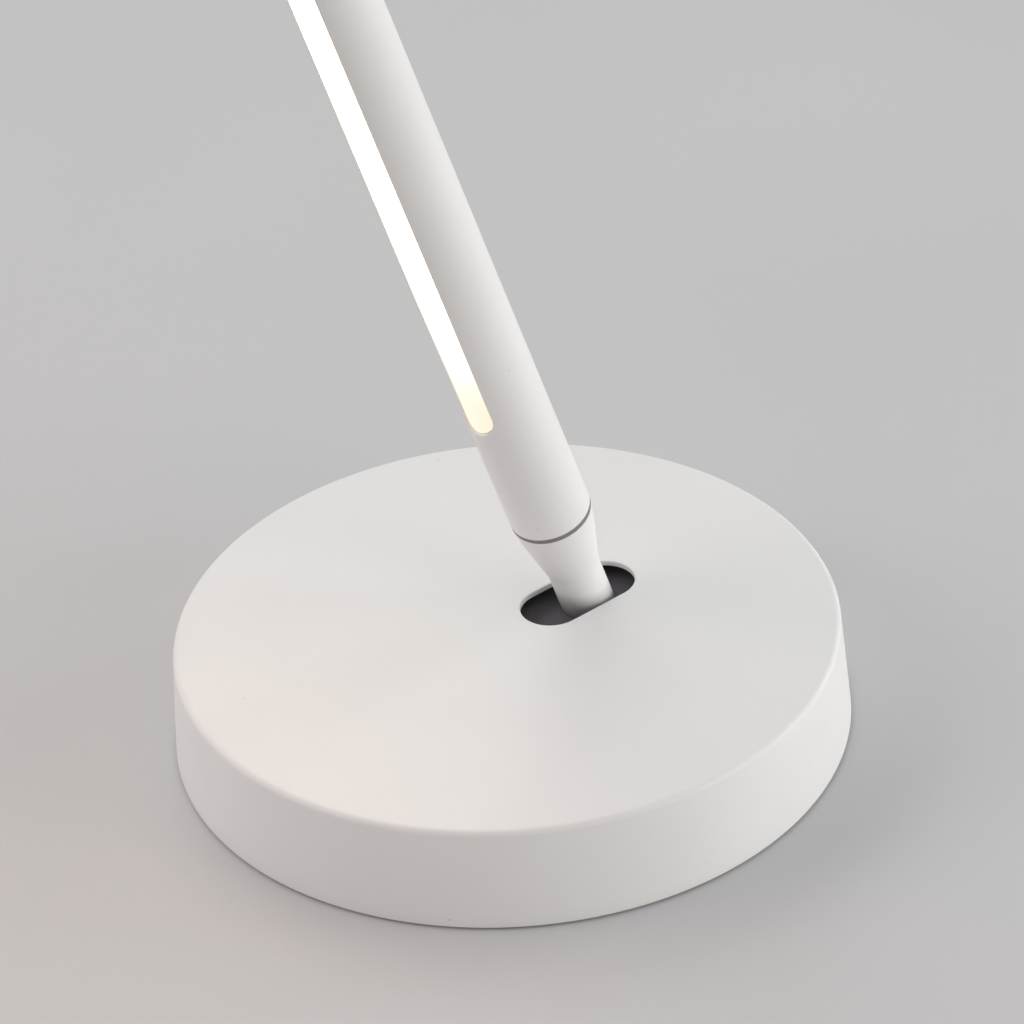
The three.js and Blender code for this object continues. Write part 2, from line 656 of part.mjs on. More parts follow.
addPart(neckFrame, 'neck', neck(), WHITE_COAT);
addPart(neckFrame, 'neck_knuckle', knuckle(), STEEL);
addPart(neckFrame, 'neck_grub_screw', cut(
  rod(1.8, [0, 5.4, GRUB_Z], [0, NECK_RADIUS - 0.4, GRUB_Z], 16),
  rod(1, [0, NECK_RADIUS - 2, GRUB_Z], [0, NECK_RADIUS + 1, GRUB_Z], 6),
), DARK_STEEL);
addPart(neckFrame, 'swivel_nipple', ring(
  NIPPLE_BORE, NIPPLE_RADIUS, NECK_BORE_END + 2, NIPPLE_END, 28,
), BRASS);
addPart(neckFrame, 'swivel_washer', swivelWasher(), GREY_NYLON);
const PIN_START = NECK_END - 5.5;
const PIN_END = TUBE_START + 3.5;
addPart(neckFrame, 'swivel_stop_pin', rod(
  PIN_RADIUS, [PIN_OFFSET, 0, PIN_START], [PIN_OFFSET, 0, PIN_END],
), STEEL);
addPart(neckFrame, 'wave_washer', waveWasher(), STEEL);
addPart(neckFrame, 'swivel_nut', cut(
  rod(8.5, [0, 0, SWIVEL_NUT_START], [0, 0, SWIVEL_NUT_START + SWIVEL_NUT_HEIGHT], 6),
  rod(NIPPLE_RADIUS + GAP, [0, 0, SWIVEL_NUT_START - 1], [0, 0, NIPPLE_END], 28),
), STEEL);
addPart(neckFrame, 'neck_lead', neckLead(), LEAD_WHITE);

// ---- slot gaiter --------------------------------------------------------------------

const GAITER_ENDS = [[-4, 3], [65, 72]];        // where it is clamped, along X
const GAITER_CLAMP_THICKNESS = 1;
const GAITER_CLAMP_HALF_WIDTH = 19;
const GAITER_SCREW_Y = 12;
const GAITER_SCREW = { radius: 1, headRadius: 2.2, headHeight: 1.2, length: 5.5 };

const GAITER_TOP = GAITER_Z + GAITER_THICKNESS;
const GAITER_CLAMP_TOP = GAITER_Z - GAP;
const GAITER_CLAMP_Z = GAITER_CLAMP_TOP - GAITER_CLAMP_THICKNESS;
const GAITER_SCREW_Z = GAITER_CLAMP_Z - GAP;
const GAITER_SCREWS = GAITER_ENDS.flatMap(([x0, x1]) => [-1, 1].map((side) => (
  [(x0 + x1) / 2, side * GAITER_SCREW_Y]
)));

/** A point on the neck's axis at rest, at a distance from the tilt pivot. */
function onNeckAxis(distance) {
  return [PIVOT_X - distance * Math.sin(LEAN), 0, PIVOT_Z + distance * Math.cos(LEAN)];
}

function gaiterScrewHoles(z0, z1) {
  const radius = GAITER_SCREW.radius + GAP;
  return GAITER_SCREWS.map(([x, y]) => rod(radius, [x, y, z0], [x, y, z1], 12));
}

/** The rubber sheet below the slot, with a round hole that grips the neck. */
function slotGaiter() {
  const [start, end] = [GAITER_ENDS[0][0], GAITER_ENDS[1][1]];
  const sheet = box(start, end, -GAITER_HALF_WIDTH, GAITER_HALF_WIDTH, GAITER_Z, GAITER_TOP);
  const neckHole = rod(NECK_RADIUS + GAP, onNeckAxis(15), onNeckAxis(30), ROUND);
  return cut(sheet, neckHole, ...gaiterScrewHoles(GAITER_Z - 1, GAITER_TOP + 1));
}

/** A bar across one end of the gaiter, with blind or through holes for its two screws. */
function gaiterBar([x0, x1], z0, z1, holeEnd) {
  const half = GAITER_CLAMP_HALF_WIDTH;
  return cut(box(x0, x1, -half, half, z0, z1), ...gaiterScrewHoles(z0 - 1, holeEnd));
}

addPart(lamp, 'slot_gaiter', slotGaiter(), RUBBER);
GAITER_ENDS.forEach((span, i) => {
  const blockTop = BASE_HEIGHT - SHEET - GAP;
  const block = gaiterBar(span, GAITER_TOP + GAP, blockTop, blockTop - 1);
  addPart(lamp, `gaiter_block_${i + 1}`, block, BLACK_PLASTIC);
  const clamp = gaiterBar(span, GAITER_CLAMP_Z, GAITER_CLAMP_TOP, GAITER_CLAMP_TOP + 1);
  addPart(lamp, `gaiter_clamp_${i + 1}`, clamp, STEEL);
});
GAITER_SCREWS.forEach(([x, y], i) => {
  const { radius, headRadius, headHeight, length } = GAITER_SCREW;
  const body = panScrew(radius, headRadius, headHeight, length);
  const screw = addPart(lamp, `gaiter_screw_${i + 1}`, body, DARK_STEEL);
  screw.position.set(x, y, GAITER_SCREW_Z);
  screw.rotation.x = Math.PI;
});

// ---- tube ---------------------------------------------------------------------------

const TUBE_INSIDE = TUBE_RADIUS - TUBE_WALL;
const FIT_RADIUS = TUBE_INSIDE - GAP;  // pieces that slide into the tube
const WINDOW_LENGTH = TUBE_LENGTH - 2 * WINDOW_END;
const TUBE_MIDDLE = (TUBE_START + TUBE_END) / 2;

/** A long prism through the -X side of the tube, in the outline of the light window. */
function windowPrism(length, width) {
  const options = { depth: 20, bevelEnabled: false, curveSegments: 8 };
  const prism = new THREE.ExtrudeGeometry(obround(length, width), options);
  return solid(prism.rotateY(-Math.PI / 2).translate(-2, 0, TUBE_MIDDLE));
}

function tubeHousing() {
  const edge = 0.4;
  const tube = turned([
    [TUBE_INSIDE, TUBE_START], [TUBE_RADIUS - edge, TUBE_START], [TUBE_RADIUS, TUBE_START + edge],
    [TUBE_RADIUS, TUBE_END - edge], [TUBE_RADIUS - edge, TUBE_END], [TUBE_INSIDE, TUBE_END],
    [TUBE_INSIDE, TUBE_START],
  ], ROUND);
  return cut(tube, windowPrism(WINDOW_LENGTH, WINDOW_WIDTH));
}

const STOP_HALF = THREE.MathUtils.degToRad(172);
const TRACK_DEPTH = 4.5;

/** The plug in the tube's lower end: a bore for the bush and a track for the stop pin. */
function lowerPlug() {
  const body = ring(6.3, FIT_RADIUS, PLUG_START, PLUG_END, ROUND);
  const trackHalf = PIN_RADIUS + 0.5;
  const shape = bandShape(PIN_OFFSET - trackHalf, PIN_OFFSET + trackHalf, 0, STOP_HALF);
  return cut(body, slab(shape, PLUG_START - 1, PLUG_START + TRACK_DEPTH));
}

function swivelBush() {
  const inner = NIPPLE_RADIUS + GAP;
  return turned([[inner, PLUG_START + 1], [6, PLUG_START + 1], [6, BUSH_FLANGE], [9, BUSH_FLANGE],
    [9, BUSH_FLANGE + 1.2], [inner, BUSH_FLANGE + 1.2], [inner, PLUG_START + 1]], 28);
}

const CARRIER_START = NIPPLE_END + 6;
const CAP_SPIGOT = 12;
const INSERT_END = TUBE_END - CAP_SPIGOT - 2;
const CARRIER_CHORD = 2.8;             // the flat that the LED board lies on
const CARRIER_SHEET = 1.8;
const BOARD_FACE = 1.2;
const BOARD_BACK = CARRIER_CHORD - GAP;
const BOARD_HALF = 5;
const BOARD_START = CARRIER_START + 20;
const LED_PITCH = 30;
const BOARD_SCREW_COUNT = 4;

const BOARD_SCREW_PLACES = Array.from({ length: BOARD_SCREW_COUNT }, (_, i) => {
  const pitches = Math.floor((INSERT_END - BOARD_START) / LED_PITCH);
  const slot = Math.round((pitches * (i + 0.5)) / BOARD_SCREW_COUNT);
  return BOARD_START + LED_PITCH * (slot + 1);
});

function boardScrewHoles(radius) {
  return BOARD_SCREW_PLACES.map((z) => rod(radius, [0, 0, z], [CARRIER_CHORD + 4, 0, z], 12));
}

/** An aluminium channel along the back of the tube that cools and carries the board. */
function ledCarrier() {
  const shape = dShape(FIT_RADIUS, CARRIER_CHORD);
  shape.holes.push(dShape(FIT_RADIUS - CARRIER_SHEET, CARRIER_CHORD + CARRIER_SHEET));
  const channel = slab(shape, CARRIER_START, INSERT_END);
  return cut(channel, ...boardScrewHoles(1.3));
}

/** The strip of LEDs: a long thin board with a row of square chips on its front. */
function ledBoard() {
  const end = INSERT_END - 8;
  const strip = box(BOARD_FACE, BOARD_BACK, -BOARD_HALF, BOARD_HALF, BOARD_START, end);
  const chips = [];
  for (let z = BOARD_START + 1.5 * LED_PITCH; z < end - 5; z += LED_PITCH) {
    chips.push(box(BOARD_FACE - 0.6, BOARD_FACE + 0.2, -1.5, 1.5, z - 1.5, z + 1.5));
  }
  return cut(join(strip, ...chips), ...boardScrewHoles(1.5));
}

/** The opal cover: a long curved strip, raised where it fills the window. */
function diffuser() {
  const sheet = 1.3;
  const halfAngle = THREE.MathUtils.degToRad(98);
  const strip = slab(bandShape(FIT_RADIUS - sheet, FIT_RADIUS, Math.PI, halfAngle),
    CARRIER_START, INSERT_END, 12);
  const fillet = ring(FIT_RADIUS - sheet / 2, TUBE_RADIUS - 0.9, TUBE_START, TUBE_END, ROUND);
  const land = fillet.intersect(windowPrism(WINDOW_LENGTH - 2 * GAP, WINDOW_WIDTH - 2 * GAP));
  return join(strip, land);
}

/** The cap that closes the top of the tube, with a hollow spigot inside it. */
function topCap() {
  const start = TUBE_END + GAP;
  const height = 2.5;
  const edge = 0.6;
  return turned([[0, start + height], [TUBE_RADIUS - edge, start + height],
    [TUBE_RADIUS, start + height - edge], [TUBE_RADIUS, start], [FIT_RADIUS, start],
    [FIT_RADIUS, start - CAP_SPIGOT], [FIT_RADIUS - 1.6, start - CAP_SPIGOT],
    [FIT_RADIUS - 1.6, start], [0, start]].reverse(), ROUND);
}

addPart(tubeFrame, 'tube_housing', tubeHousing(), WHITE_COAT);
addPart(tubeFrame, 'lower_plug', lowerPlug(), ALUMINIUM);
addPart(tubeFrame, 'swivel_bush', swivelBush(), BLACK_PLASTIC);
addPart(tubeFrame, 'led_carrier', ledCarrier(), ALUMINIUM);
addPart(tubeFrame, 'led_board', ledBoard(), BOARD_WHITE);
BOARD_SCREW_PLACES.forEach((z, i) => {
  const screw = addPart(tubeFrame, `board_screw_${i + 1}`, panScrew(1, 2.2, 1.2, 4), DARK_STEEL);
  screw.position.set(BOARD_FACE - GAP, 0, z);
  screw.rotation.y = -Math.PI / 2;
});
addPart(tubeFrame, 'diffuser', diffuser(), OPAL);
addPart(tubeFrame, 'top_cap', topCap(), WHITE_COAT);
const BOARD_LEAD_X = BOARD_FACE - GAP - LEAD_RADIUS;
addPart(tubeFrame, 'tube_lead', lead([
  [0, 0, NIPPLE_END + 5.5], [-0.1, 0, CARRIER_START + 6], [BOARD_LEAD_X, 0, BOARD_START],
  [BOARD_LEAD_X, 0, BOARD_START + 12],
], 10), LEAD_WHITE);

export default lamp;
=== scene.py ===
"""A white LED floor lamp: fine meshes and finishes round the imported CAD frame.

Metres, in the row frame. The pieces on the neck and the tube are drawn in the neck's own
frame: its origin is the tilt pivot, its +Z runs along the tube and its -X side is lit.
"""

import json
import math

import bmesh
import bpy
from mathutils import Matrix, Vector


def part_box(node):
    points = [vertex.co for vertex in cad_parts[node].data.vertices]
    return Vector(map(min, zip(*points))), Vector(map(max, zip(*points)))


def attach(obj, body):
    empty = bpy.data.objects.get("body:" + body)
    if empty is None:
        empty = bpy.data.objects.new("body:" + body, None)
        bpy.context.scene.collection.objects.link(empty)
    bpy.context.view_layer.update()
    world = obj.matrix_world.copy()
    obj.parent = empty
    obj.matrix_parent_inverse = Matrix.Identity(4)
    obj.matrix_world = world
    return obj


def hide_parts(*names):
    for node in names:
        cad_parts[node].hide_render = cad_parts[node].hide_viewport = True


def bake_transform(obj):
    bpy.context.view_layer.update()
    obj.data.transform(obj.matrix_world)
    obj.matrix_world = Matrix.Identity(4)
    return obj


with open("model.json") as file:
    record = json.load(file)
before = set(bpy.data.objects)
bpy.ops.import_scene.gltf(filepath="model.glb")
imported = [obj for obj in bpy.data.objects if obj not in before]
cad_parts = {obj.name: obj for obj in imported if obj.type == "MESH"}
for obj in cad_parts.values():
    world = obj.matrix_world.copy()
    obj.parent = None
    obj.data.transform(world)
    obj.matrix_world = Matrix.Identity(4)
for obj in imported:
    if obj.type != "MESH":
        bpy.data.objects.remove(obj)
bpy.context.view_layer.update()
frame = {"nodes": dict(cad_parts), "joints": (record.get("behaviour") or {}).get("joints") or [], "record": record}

MM = 0.001

# ---- places taken from the frame ----------------------------------------------------

JOINTS = {joint["name"]: joint for joint in frame["joints"]}
PIVOT = Vector(JOINTS["tilt"]["pos_m"])
TUBE_AXIS = Vector(JOINTS["swivel"]["axis"]).normalized()


def neck_frame():
    """The matrix from the neck's own frame to the row frame."""
    sideways = Vector((0, 1, 0))
    across = sideways.cross(TUBE_AXIS).normalized()
    turn = Matrix((across, sideways, TUBE_AXIS)).transposed()
    return Matrix.Translation(PIVOT) @ turn.to_4x4()


NECK_FRAME = neck_frame()


def span_along_tube(node):
    """Where a CAD node starts and ends along the neck's axis, from the tilt pivot."""
    to_neck = NECK_FRAME.inverted()
    heights = [(to_neck @ v.co).z for v in frame["nodes"][node].data.vertices]
    return min(heights), max(heights)


BASE_LOW, BASE_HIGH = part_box("base_cover")
BASE_RADIUS = BASE_HIGH.x
BASE_TOP = BASE_HIGH.z
BASE_RIM = BASE_LOW.z
PLATE_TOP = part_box("base_plate")[1].z
GAITER_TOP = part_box("slot_gaiter")[1].z

NECK_START, NECK_END = span_along_tube("neck")
TUBE_START, TUBE_END = span_along_tube("tube_housing")
STRIP_START, STRIP_END = span_along_tube("diffuser")
CAP_START, CAP_END = span_along_tube("top_cap")

# ---- sizes of the design ------------------------------------------------------------

GAP = 0.3 * MM                         # clearance round pieces that fit in one another

BASE_TOP_RADIUS = 122.9 * MM           # the side leans in a little towards the top
BASE_FILLET = 2.4 * MM
SHEET = 2.2 * MM
SLOT_X = 34 * MM
SLOT_LENGTH = 48.2 * MM
SLOT_WIDTH = 23.6 * MM
POST_CIRCLE = 107 * MM                 # the screw posts stand on this radius
POST_TURNS = (60, 180, 300)            # degrees round the base
POST_RADIUS = 5 * MM
POST_HOLE_RADIUS = 2 * MM
POST_HOLE_DEPTH = 14 * MM
INLET_Z = 18 * MM
INLET_RADIUS = 5.4 * MM

NECK_RADIUS = 9.9 * MM
NECK_BASE = 29.28 * MM                 # where the neck's axis meets the top of the base
NECK_CYLINDER = 14.1 * MM              # straight part of the neck above the base
FLARE_OPENING = 1.19                   # how fast the neck opens where its flare starts
FLARE_EASING = 0.19                    # how much of that is lost by its top
SPIGOT_BORE = 7.3 * MM                 # radius of the neck's lower bore
NIPPLE_BORE = 5.2 * MM                 # radius of its upper bore
BORE_STEP = 50 * MM                    # where one bore meets the other
GRUB_RADIUS = 2.1 * MM
GRUB_Z = 20 * MM
STOP_PIN_OFFSET = 10.4 * MM
STOP_PIN_HOLE = 1.8 * MM

GAITER_GRIP = 0.3 * MM                 # the sheet ends this far from the neck
GAITER_SCREWS = (-12 * MM, 12 * MM)    # where screws go through it, across the slot
GAITER_SCREW_HOLE = 1.3 * MM

LEAD_RADIUS = 1.5 * MM
LEAD_START = (66.5 * MM, 0, 14.2 * MM)  # where the lead leaves the base, in the row frame
LEAD_END = (16.1 * MM, 0, 5.2 * MM)    # where it enters the neck, in the neck's frame
LEAD_LEAVES = (-0.6, 0, 3.4)           # which way it sets out, in millimetres
LEAD_ARRIVES = (2.6, 0, -2.4)          # which way it comes in, seen from its end

TUBE_RADIUS = 15.4 * MM
TUBE_WALL = 1.2 * MM
WINDOW_WIDTH = 19 * MM
WINDOW_END = 55 * MM                   # solid tube between each end and the window
WINDOW_LOW = TUBE_START + WINDOW_END
WINDOW_HIGH = TUBE_END - WINDOW_END
STRIP_RADIUS = 13.9 * MM
STRIP_THICKNESS = 1.3 * MM
STRIP_HALF_ANGLE = math.radians(98)
LAND_RADIUS = 14.5 * MM                # the opal cover where it fills the window

# ---- mesh tools ---------------------------------------------------------------------

SHARP_ANGLE = math.radians(35)
MERGE = 1e-7


def smooth_shading(mesh):
    for polygon in mesh.polygons:
        polygon.use_smooth = True
    mesh.set_sharp_from_angle(angle=SHARP_ANGLE)


def new_object(name, bm):
    """A closed mesh object from a bmesh, smooth except along its sharp edges."""
    bmesh.ops.remove_doubles(bm, verts=bm.verts, dist=MERGE)
    bmesh.ops.dissolve_degenerate(bm, edges=bm.edges, dist=MERGE)
    bmesh.ops.recalc_face_normals(bm, faces=bm.faces)
    mesh = bpy.data.meshes.new(name)
    bm.to_mesh(mesh)
    bm.free()
    smooth_shading(mesh)
    obj = bpy.data.objects.new(name, mesh)
    bpy.context.scene.collection.objects.link(obj)
    return obj


def bridge(bm, rows, round_rows=True):
    """Fills between rows of points with quads. Each row has as many points as the next."""
    made = [[bm.verts.new(point) for point in row] for row in rows]
    count = len(made[0])
    last = count if round_rows else count - 1
    for low, high in zip(made, made[1:]):
        for i in range(last):
            j = (i + 1) % count
            bm.faces.new((low[i], low[j], high[j], high[i]))
    return made


def circle(radius, z, segments):
    turns = [2 * math.pi * i / segments for i in range(segments)]
    return [(radius * math.cos(a), radius * math.sin(a), z) for a in turns]


def soften(corners, steps=5):
    """A closed outline from (x, y, radius) corners, each rounded by its own radius."""
    outline = []
    for i, (x, y, radius) in enumerate(corners):
        corner = Vector((x, y))
        back = (Vector(corners[i - 1][:2]) - corner).normalized()
        on = (Vector(corners[(i + 1) % len(corners)][:2]) - corner).normalized()
        if radius == 0:
            outline.append(corner)
            continue
        half = back.angle(on) / 2
        centre = corner + (back + on).normalized() * radius / math.sin(half)
        start = corner + back * radius / math.tan(half) - centre
        end = corner + on * radius / math.tan(half) - centre
        for k in range(steps + 1):
            spoke = start.slerp(end, k / steps).normalized()
            outline.append(centre + spoke * radius)
    return outline


def turned(name, corners, segments=128, steps=5):
    """A solid turned round Z from the (radius, z, rounding) corners of its outline."""
    bm = bmesh.new()
    rows = [circle(radius, z, segments) for radius, z in soften(corners, steps)]
    ends_on_axis = corners[0][0] == 0 and corners[-1][0] == 0
    bridge(bm, rows if ends_on_axis else rows + rows[:1])
    return new_object(name, bm)


def rod(radius, start, end, segments=64):
    """A plain round bar between two points, used to cut with."""
    start = Vector(start)
    way = Vector(end) - start
    outline = [(0, 0, 0), (radius, 0, 0), (radius, way.length, 0), (0, way.length, 0)]
    bar = turned("cutter", outline, segments)
    turn = Vector((0, 0, 1)).rotation_difference(way)
    bar.data.transform(Matrix.Translation(start) @ turn.to_matrix().to_4x4())
    return bar


def combine(obj, other, operation):
    """Cuts, joins or intersects a mesh with another, which is used up."""
    modifier = obj.modifiers.new("combine", "BOOLEAN")
    modifier.operation = operation
    modifier.solver = "EXACT"
    modifier.object = other
    bpy.context.view_layer.update()
    graph = bpy.context.evaluated_depsgraph_get()
    mesh = bpy.data.meshes.new_from_object(obj.evaluated_get(graph))
    obj.modifiers.clear()
    obj.data = mesh
    smooth_shading(mesh)
    bpy.data.objects.remove(other)


def place(obj, body, slot, *nodes, matrix=None):
    """Puts a finished piece on its body, in place of CAD nodes, with its slot's finish."""
    if matrix is not None:
        obj.matrix_world = matrix
    obj.data.materials.clear()
    obj.data.materials.append(FINISHES[slot])
    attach(obj, body)
    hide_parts(*nodes)


# ---- finishes -----------------------------------------------------------------------


class Finish:
    """A node material on one Principled shader, textured in the object's own space."""

    def __init__(self, name):
        self.material = bpy.data.materials.new(name)
        self.material.use_nodes = True
        self.tree = self.material.node_tree
        self.shader = self.tree.nodes["Principled BSDF"]
        self.place = self.node("ShaderNodeTexCoord").outputs["Object"]

    def node(self, kind, inputs=None, **settings):
        made = self.tree.nodes.new(kind)
        for name, value in settings.items():
            setattr(made, name, value)
        for name, value in (inputs or {}).items():
            self.feed(made.inputs[name], value)
        return made

    def feed(self, socket, value):
        """Links a socket to another node's output, or gives it a fixed value."""
        if isinstance(value, bpy.types.NodeSocket):
            self.tree.links.new(value, socket)
        elif socket.type == "RGBA" and len(value) == 3:
            socket.default_value = (*value, 1)
        else:
            socket.default_value = value

    def set(self, name, value):
        self.feed(self.shader.inputs[name], value)

    def stretch(self, scale):
        """The object's space stretched by a factor along each axis."""
        return self.node("ShaderNodeMapping", {"Vector": self.place, "Scale": scale}).outputs[0]

    def noise(self, scale, detail, vector=None):
        """Soft noise from 0 to 1, with about `scale` lumps in a metre."""
        inputs = {"Vector": vector or self.place, "Scale": scale, "Detail": detail}
        return self.node("ShaderNodeTexNoise", inputs).outputs["Fac"]

    def between(self, value, low, high, to_low, to_high):
        """Maps a value from one range to another and holds it at the ends."""
        inputs = {"Value": value, "From Min": low, "From Max": high, "To Min": to_low,
                  "To Max": to_high}
        return self.node("ShaderNodeMapRange", inputs).outputs["Result"]

    def multiply(self, first, second):
        made = self.node("ShaderNodeMath", operation="MULTIPLY")
        self.feed(made.inputs[0], first)
        self.feed(made.inputs[1], second)
        return made.outputs[0]

    def shades(self, factor, *stops):
        """A colour ramp of (position, colour) stops."""
        ramp = self.node("ShaderNodeValToRGB", {"Fac": factor})
        elements = ramp.color_ramp.elements
        while len(elements) < len(stops):
            elements.new(1.0)
        for element, (position, colour) in zip(elements, stops):
            element.position = position
            element.color = (*colour, 1)
        return ramp.outputs["Color"]

    def mix(self, factor, first, second):
        made = self.node("ShaderNodeMix", data_type="RGBA")
        values = {"Factor_Float": factor, "A_Color": first, "B_Color": second}
        for identifier, value in values.items():
            socket = next(s for s in made.inputs if s.identifier == identifier)
            self.feed(socket, value)
        return next(s for s in made.outputs if s.identifier == "Result_Color")

    def bump(self, height, distance, below=None):
        """Raises the surface by up to `distance` metres, on top of another bump."""
        made = self.node("ShaderNodeBump", {"Height": height, "Distance": distance})
        if below is not None:
            self.feed(made.inputs["Normal"], below)
        return made.outputs["Normal"]


def scaled(colour, factor):
    return tuple(channel * factor for channel in colour)


SPECK_CELLS = 95.0                     # cells in a metre, of which a few hold a speck
SPECK_RADIUS = (0.02, 0.05)            # in cells from the middle: full speck, no speck
SPECK_CHANCE = (0.86, 0.88)            # a cell's random value: no speck, full speck
SPECK_SHADE = 0.72
# Painted shade on the neck: its coat turns dark towards the gaiter, for the slot's shade and the dark gaiter's
# reflection.
NECK_SHADE_HEIGHT = 12 * MM
NECK_SHADE_DEPTH = 0.75                       # share of the painted shade colour just above the gaiter
NECK_SHADE_COLOUR = (0.04, 0.04, 0.05)


def powder_coat(name, colour, painted_shade=False):
    """Satin powder coat: faint clouds, a fine orange peel and a few specks of dust.

    On the neck, a painted shade and a painted reflection of the gaiter darken the coat just above where the gaiter
    touches it.
    """
    coat = Finish(name)
    clouds = coat.noise(14, 2)
    tint = coat.shades(clouds, (0.35, scaled(colour, 0.985)), (0.65, scaled(colour, 1.01)))
    cells = coat.node("ShaderNodeTexVoronoi", {"Vector": coat.place, "Scale": SPECK_CELLS})
    near = coat.between(cells.outputs["Distance"], *SPECK_RADIUS, 1, 0)
    channels = coat.node("ShaderNodeSeparateColor", {"Color": cells.outputs["Color"]})
    chosen = coat.between(channels.outputs["Red"], *SPECK_CHANCE, 0, 1)
    speck = coat.multiply(near, chosen)
    paint = coat.mix(speck, tint, scaled(colour, SPECK_SHADE))
    # Painted shade and reflection: the coat darkens towards the gaiter.
    if painted_shade:
        above = coat.node("ShaderNodeVectorMath", {0: coat.place, 1: NECK_FRAME.row[2].xyz},
                          operation="DOT_PRODUCT").outputs["Value"]
        contact = GAITER_TOP - PIVOT.z
        share = coat.between(above, contact, contact + NECK_SHADE_HEIGHT, NECK_SHADE_DEPTH, 0)
        paint = coat.mix(share, paint, NECK_SHADE_COLOUR)
    coat.set("Base Color", paint)
    coat.set("Roughness", coat.between(coat.noise(260, 4), 0.3, 0.7, 0.44, 0.56))
    peel = coat.bump(coat.noise(620, 2), 0.02 * MM)
    grain = coat.bump(coat.noise(2600, 3), 0.008 * MM, peel)
    coat.set("Normal", coat.bump(speck, 0.03 * MM, grain))
    return coat.material


def moulded(name, colour, roughness, grain=1400.0, depth=0.03 * MM):
    """Moulded plastic or nylon with a fine spark-eroded grain."""
    plastic = Finish(name)
    clouds = plastic.noise(60, 3)
    plastic.set("Base Color", plastic.shades(
        clouds, (0.3, scaled(colour, 0.88)), (0.7, scaled(colour, 1.14))))
    plastic.set("Roughness", plastic.between(
        plastic.noise(500, 3), 0.3, 0.7, roughness - 0.06, roughness + 0.06))
    plastic.set("Normal", plastic.bump(plastic.noise(grain, 4), depth))
    return plastic.material


def worked_metal(name, colour, roughness, marks):
    """Metal with fine tool marks: noise stretched along one direction."""
    metal = Finish(name)
    streaks = metal.noise(1.0, 4, metal.stretch(marks))
    patches = metal.noise(35, 3)
    shade = metal.shades(patches, (0.3, scaled(colour, 0.86)), (0.7, scaled(colour, 1.08)))
    fine = metal.shades(streaks, (0.3, (0.9, 0.9, 0.9)), (0.7, (1.0, 1.0, 1.0)))
    metal.set("Base Color", metal.mix(metal.between(streaks, 0.4, 0.6, 0, 0.35), shade, fine))
    metal.set("Metallic", 1.0)
    metal.set("Roughness", metal.between(streaks, 0.3, 0.7, roughness - 0.08, roughness + 0.1))
    metal.set("Normal", metal.bump(streaks, 0.01 * MM))
    return metal.material


def cast_iron(name, colour):
    """Sand-cast iron: dark, lumpy and pitted."""
    iron = Finish(name)
    lumps = iron.noise(120, 5)
    iron.set("Base Color", iron.shades(
        lumps, (0.25, scaled(colour, 0.6)), (0.55, colour), (0.8, scaled(colour, 1.7))))
    iron.set("Metallic", 0.6)
    iron.set("Roughness", iron.between(lumps, 0.3, 0.7, 0.7, 0.9))
    pits = iron.bump(iron.noise(900, 5), 0.25 * MM)
    iron.set("Normal", iron.bump(lumps, 0.5 * MM, pits))
    return iron.material


def rubber(name, colour, low_factor, high_factor):
    """Matt rubber with a fine pebbled face: its colour times a factor that dust varies between a low and a high
    one; factors above 1 paint light onto it.
    """
    sheet = Finish(name)
    pebbles = sheet.node("ShaderNodeTexVoronoi", {"Vector": sheet.place, "Scale": 700.0})
    dust = sheet.noise(25, 4)
    sheet.set("Base Color", sheet.shades(
        dust, (0.3, scaled(colour, low_factor)), (0.8, scaled(colour, high_factor))))
    sheet.set("Roughness", sheet.between(dust, 0.3, 0.7, 0.78, 0.92))
    sheet.set("Normal", sheet.bump(pebbles.outputs["Distance"], 0.12 * MM))
    return sheet.material


def circuit_board(name, colour, track):
    """Solder mask with the faint pattern of the copper below it."""
    board = Finish(name)
    tracks = board.node("ShaderNodeTexBrick", {
        "Vector": board.place, "Scale": 160.0, "Mortar Size": 0.06, "Color1": colour,
        "Color2": scaled(colour, 1.08), "Mortar": track})
    board.set("Base Color", tracks.outputs["Color"])
    board.set("Roughness", board.between(board.noise(300, 3), 0.3, 0.7, 0.32, 0.45))
    board.set("Normal", board.bump(tracks.outputs["Fac"], -0.03 * MM))
    return board.material


GLOW = 8.5                             # emission strength of the strip
GLOW_START = -8 * MM                   # its dimmest point, measured in from the window's end
GLOW_FULL = 70 * MM                    # from here on it is at its full brightness
GLOW_SIDE = 40 * MM                    # below this, the +Y side of the strip is dimmer
GLOW_SIDE_LOSS = 0.3
GLOW_EDGE = (0.05 * MM, 0.15 * MM)     # height over the sunk flanks: no glow, full glow
GLOW_RAMP = (
    (0.0, (0.037, 0.028, 0.019)),
    (0.1, (0.073, 0.061, 0.043)),
    (0.3, (0.075, 0.063, 0.046)),
    (0.45, (0.094, 0.08, 0.062)),
    (0.7, (0.22, 0.18, 0.14)),
    (1.0, (1.0, 0.55, 0.29)),
)


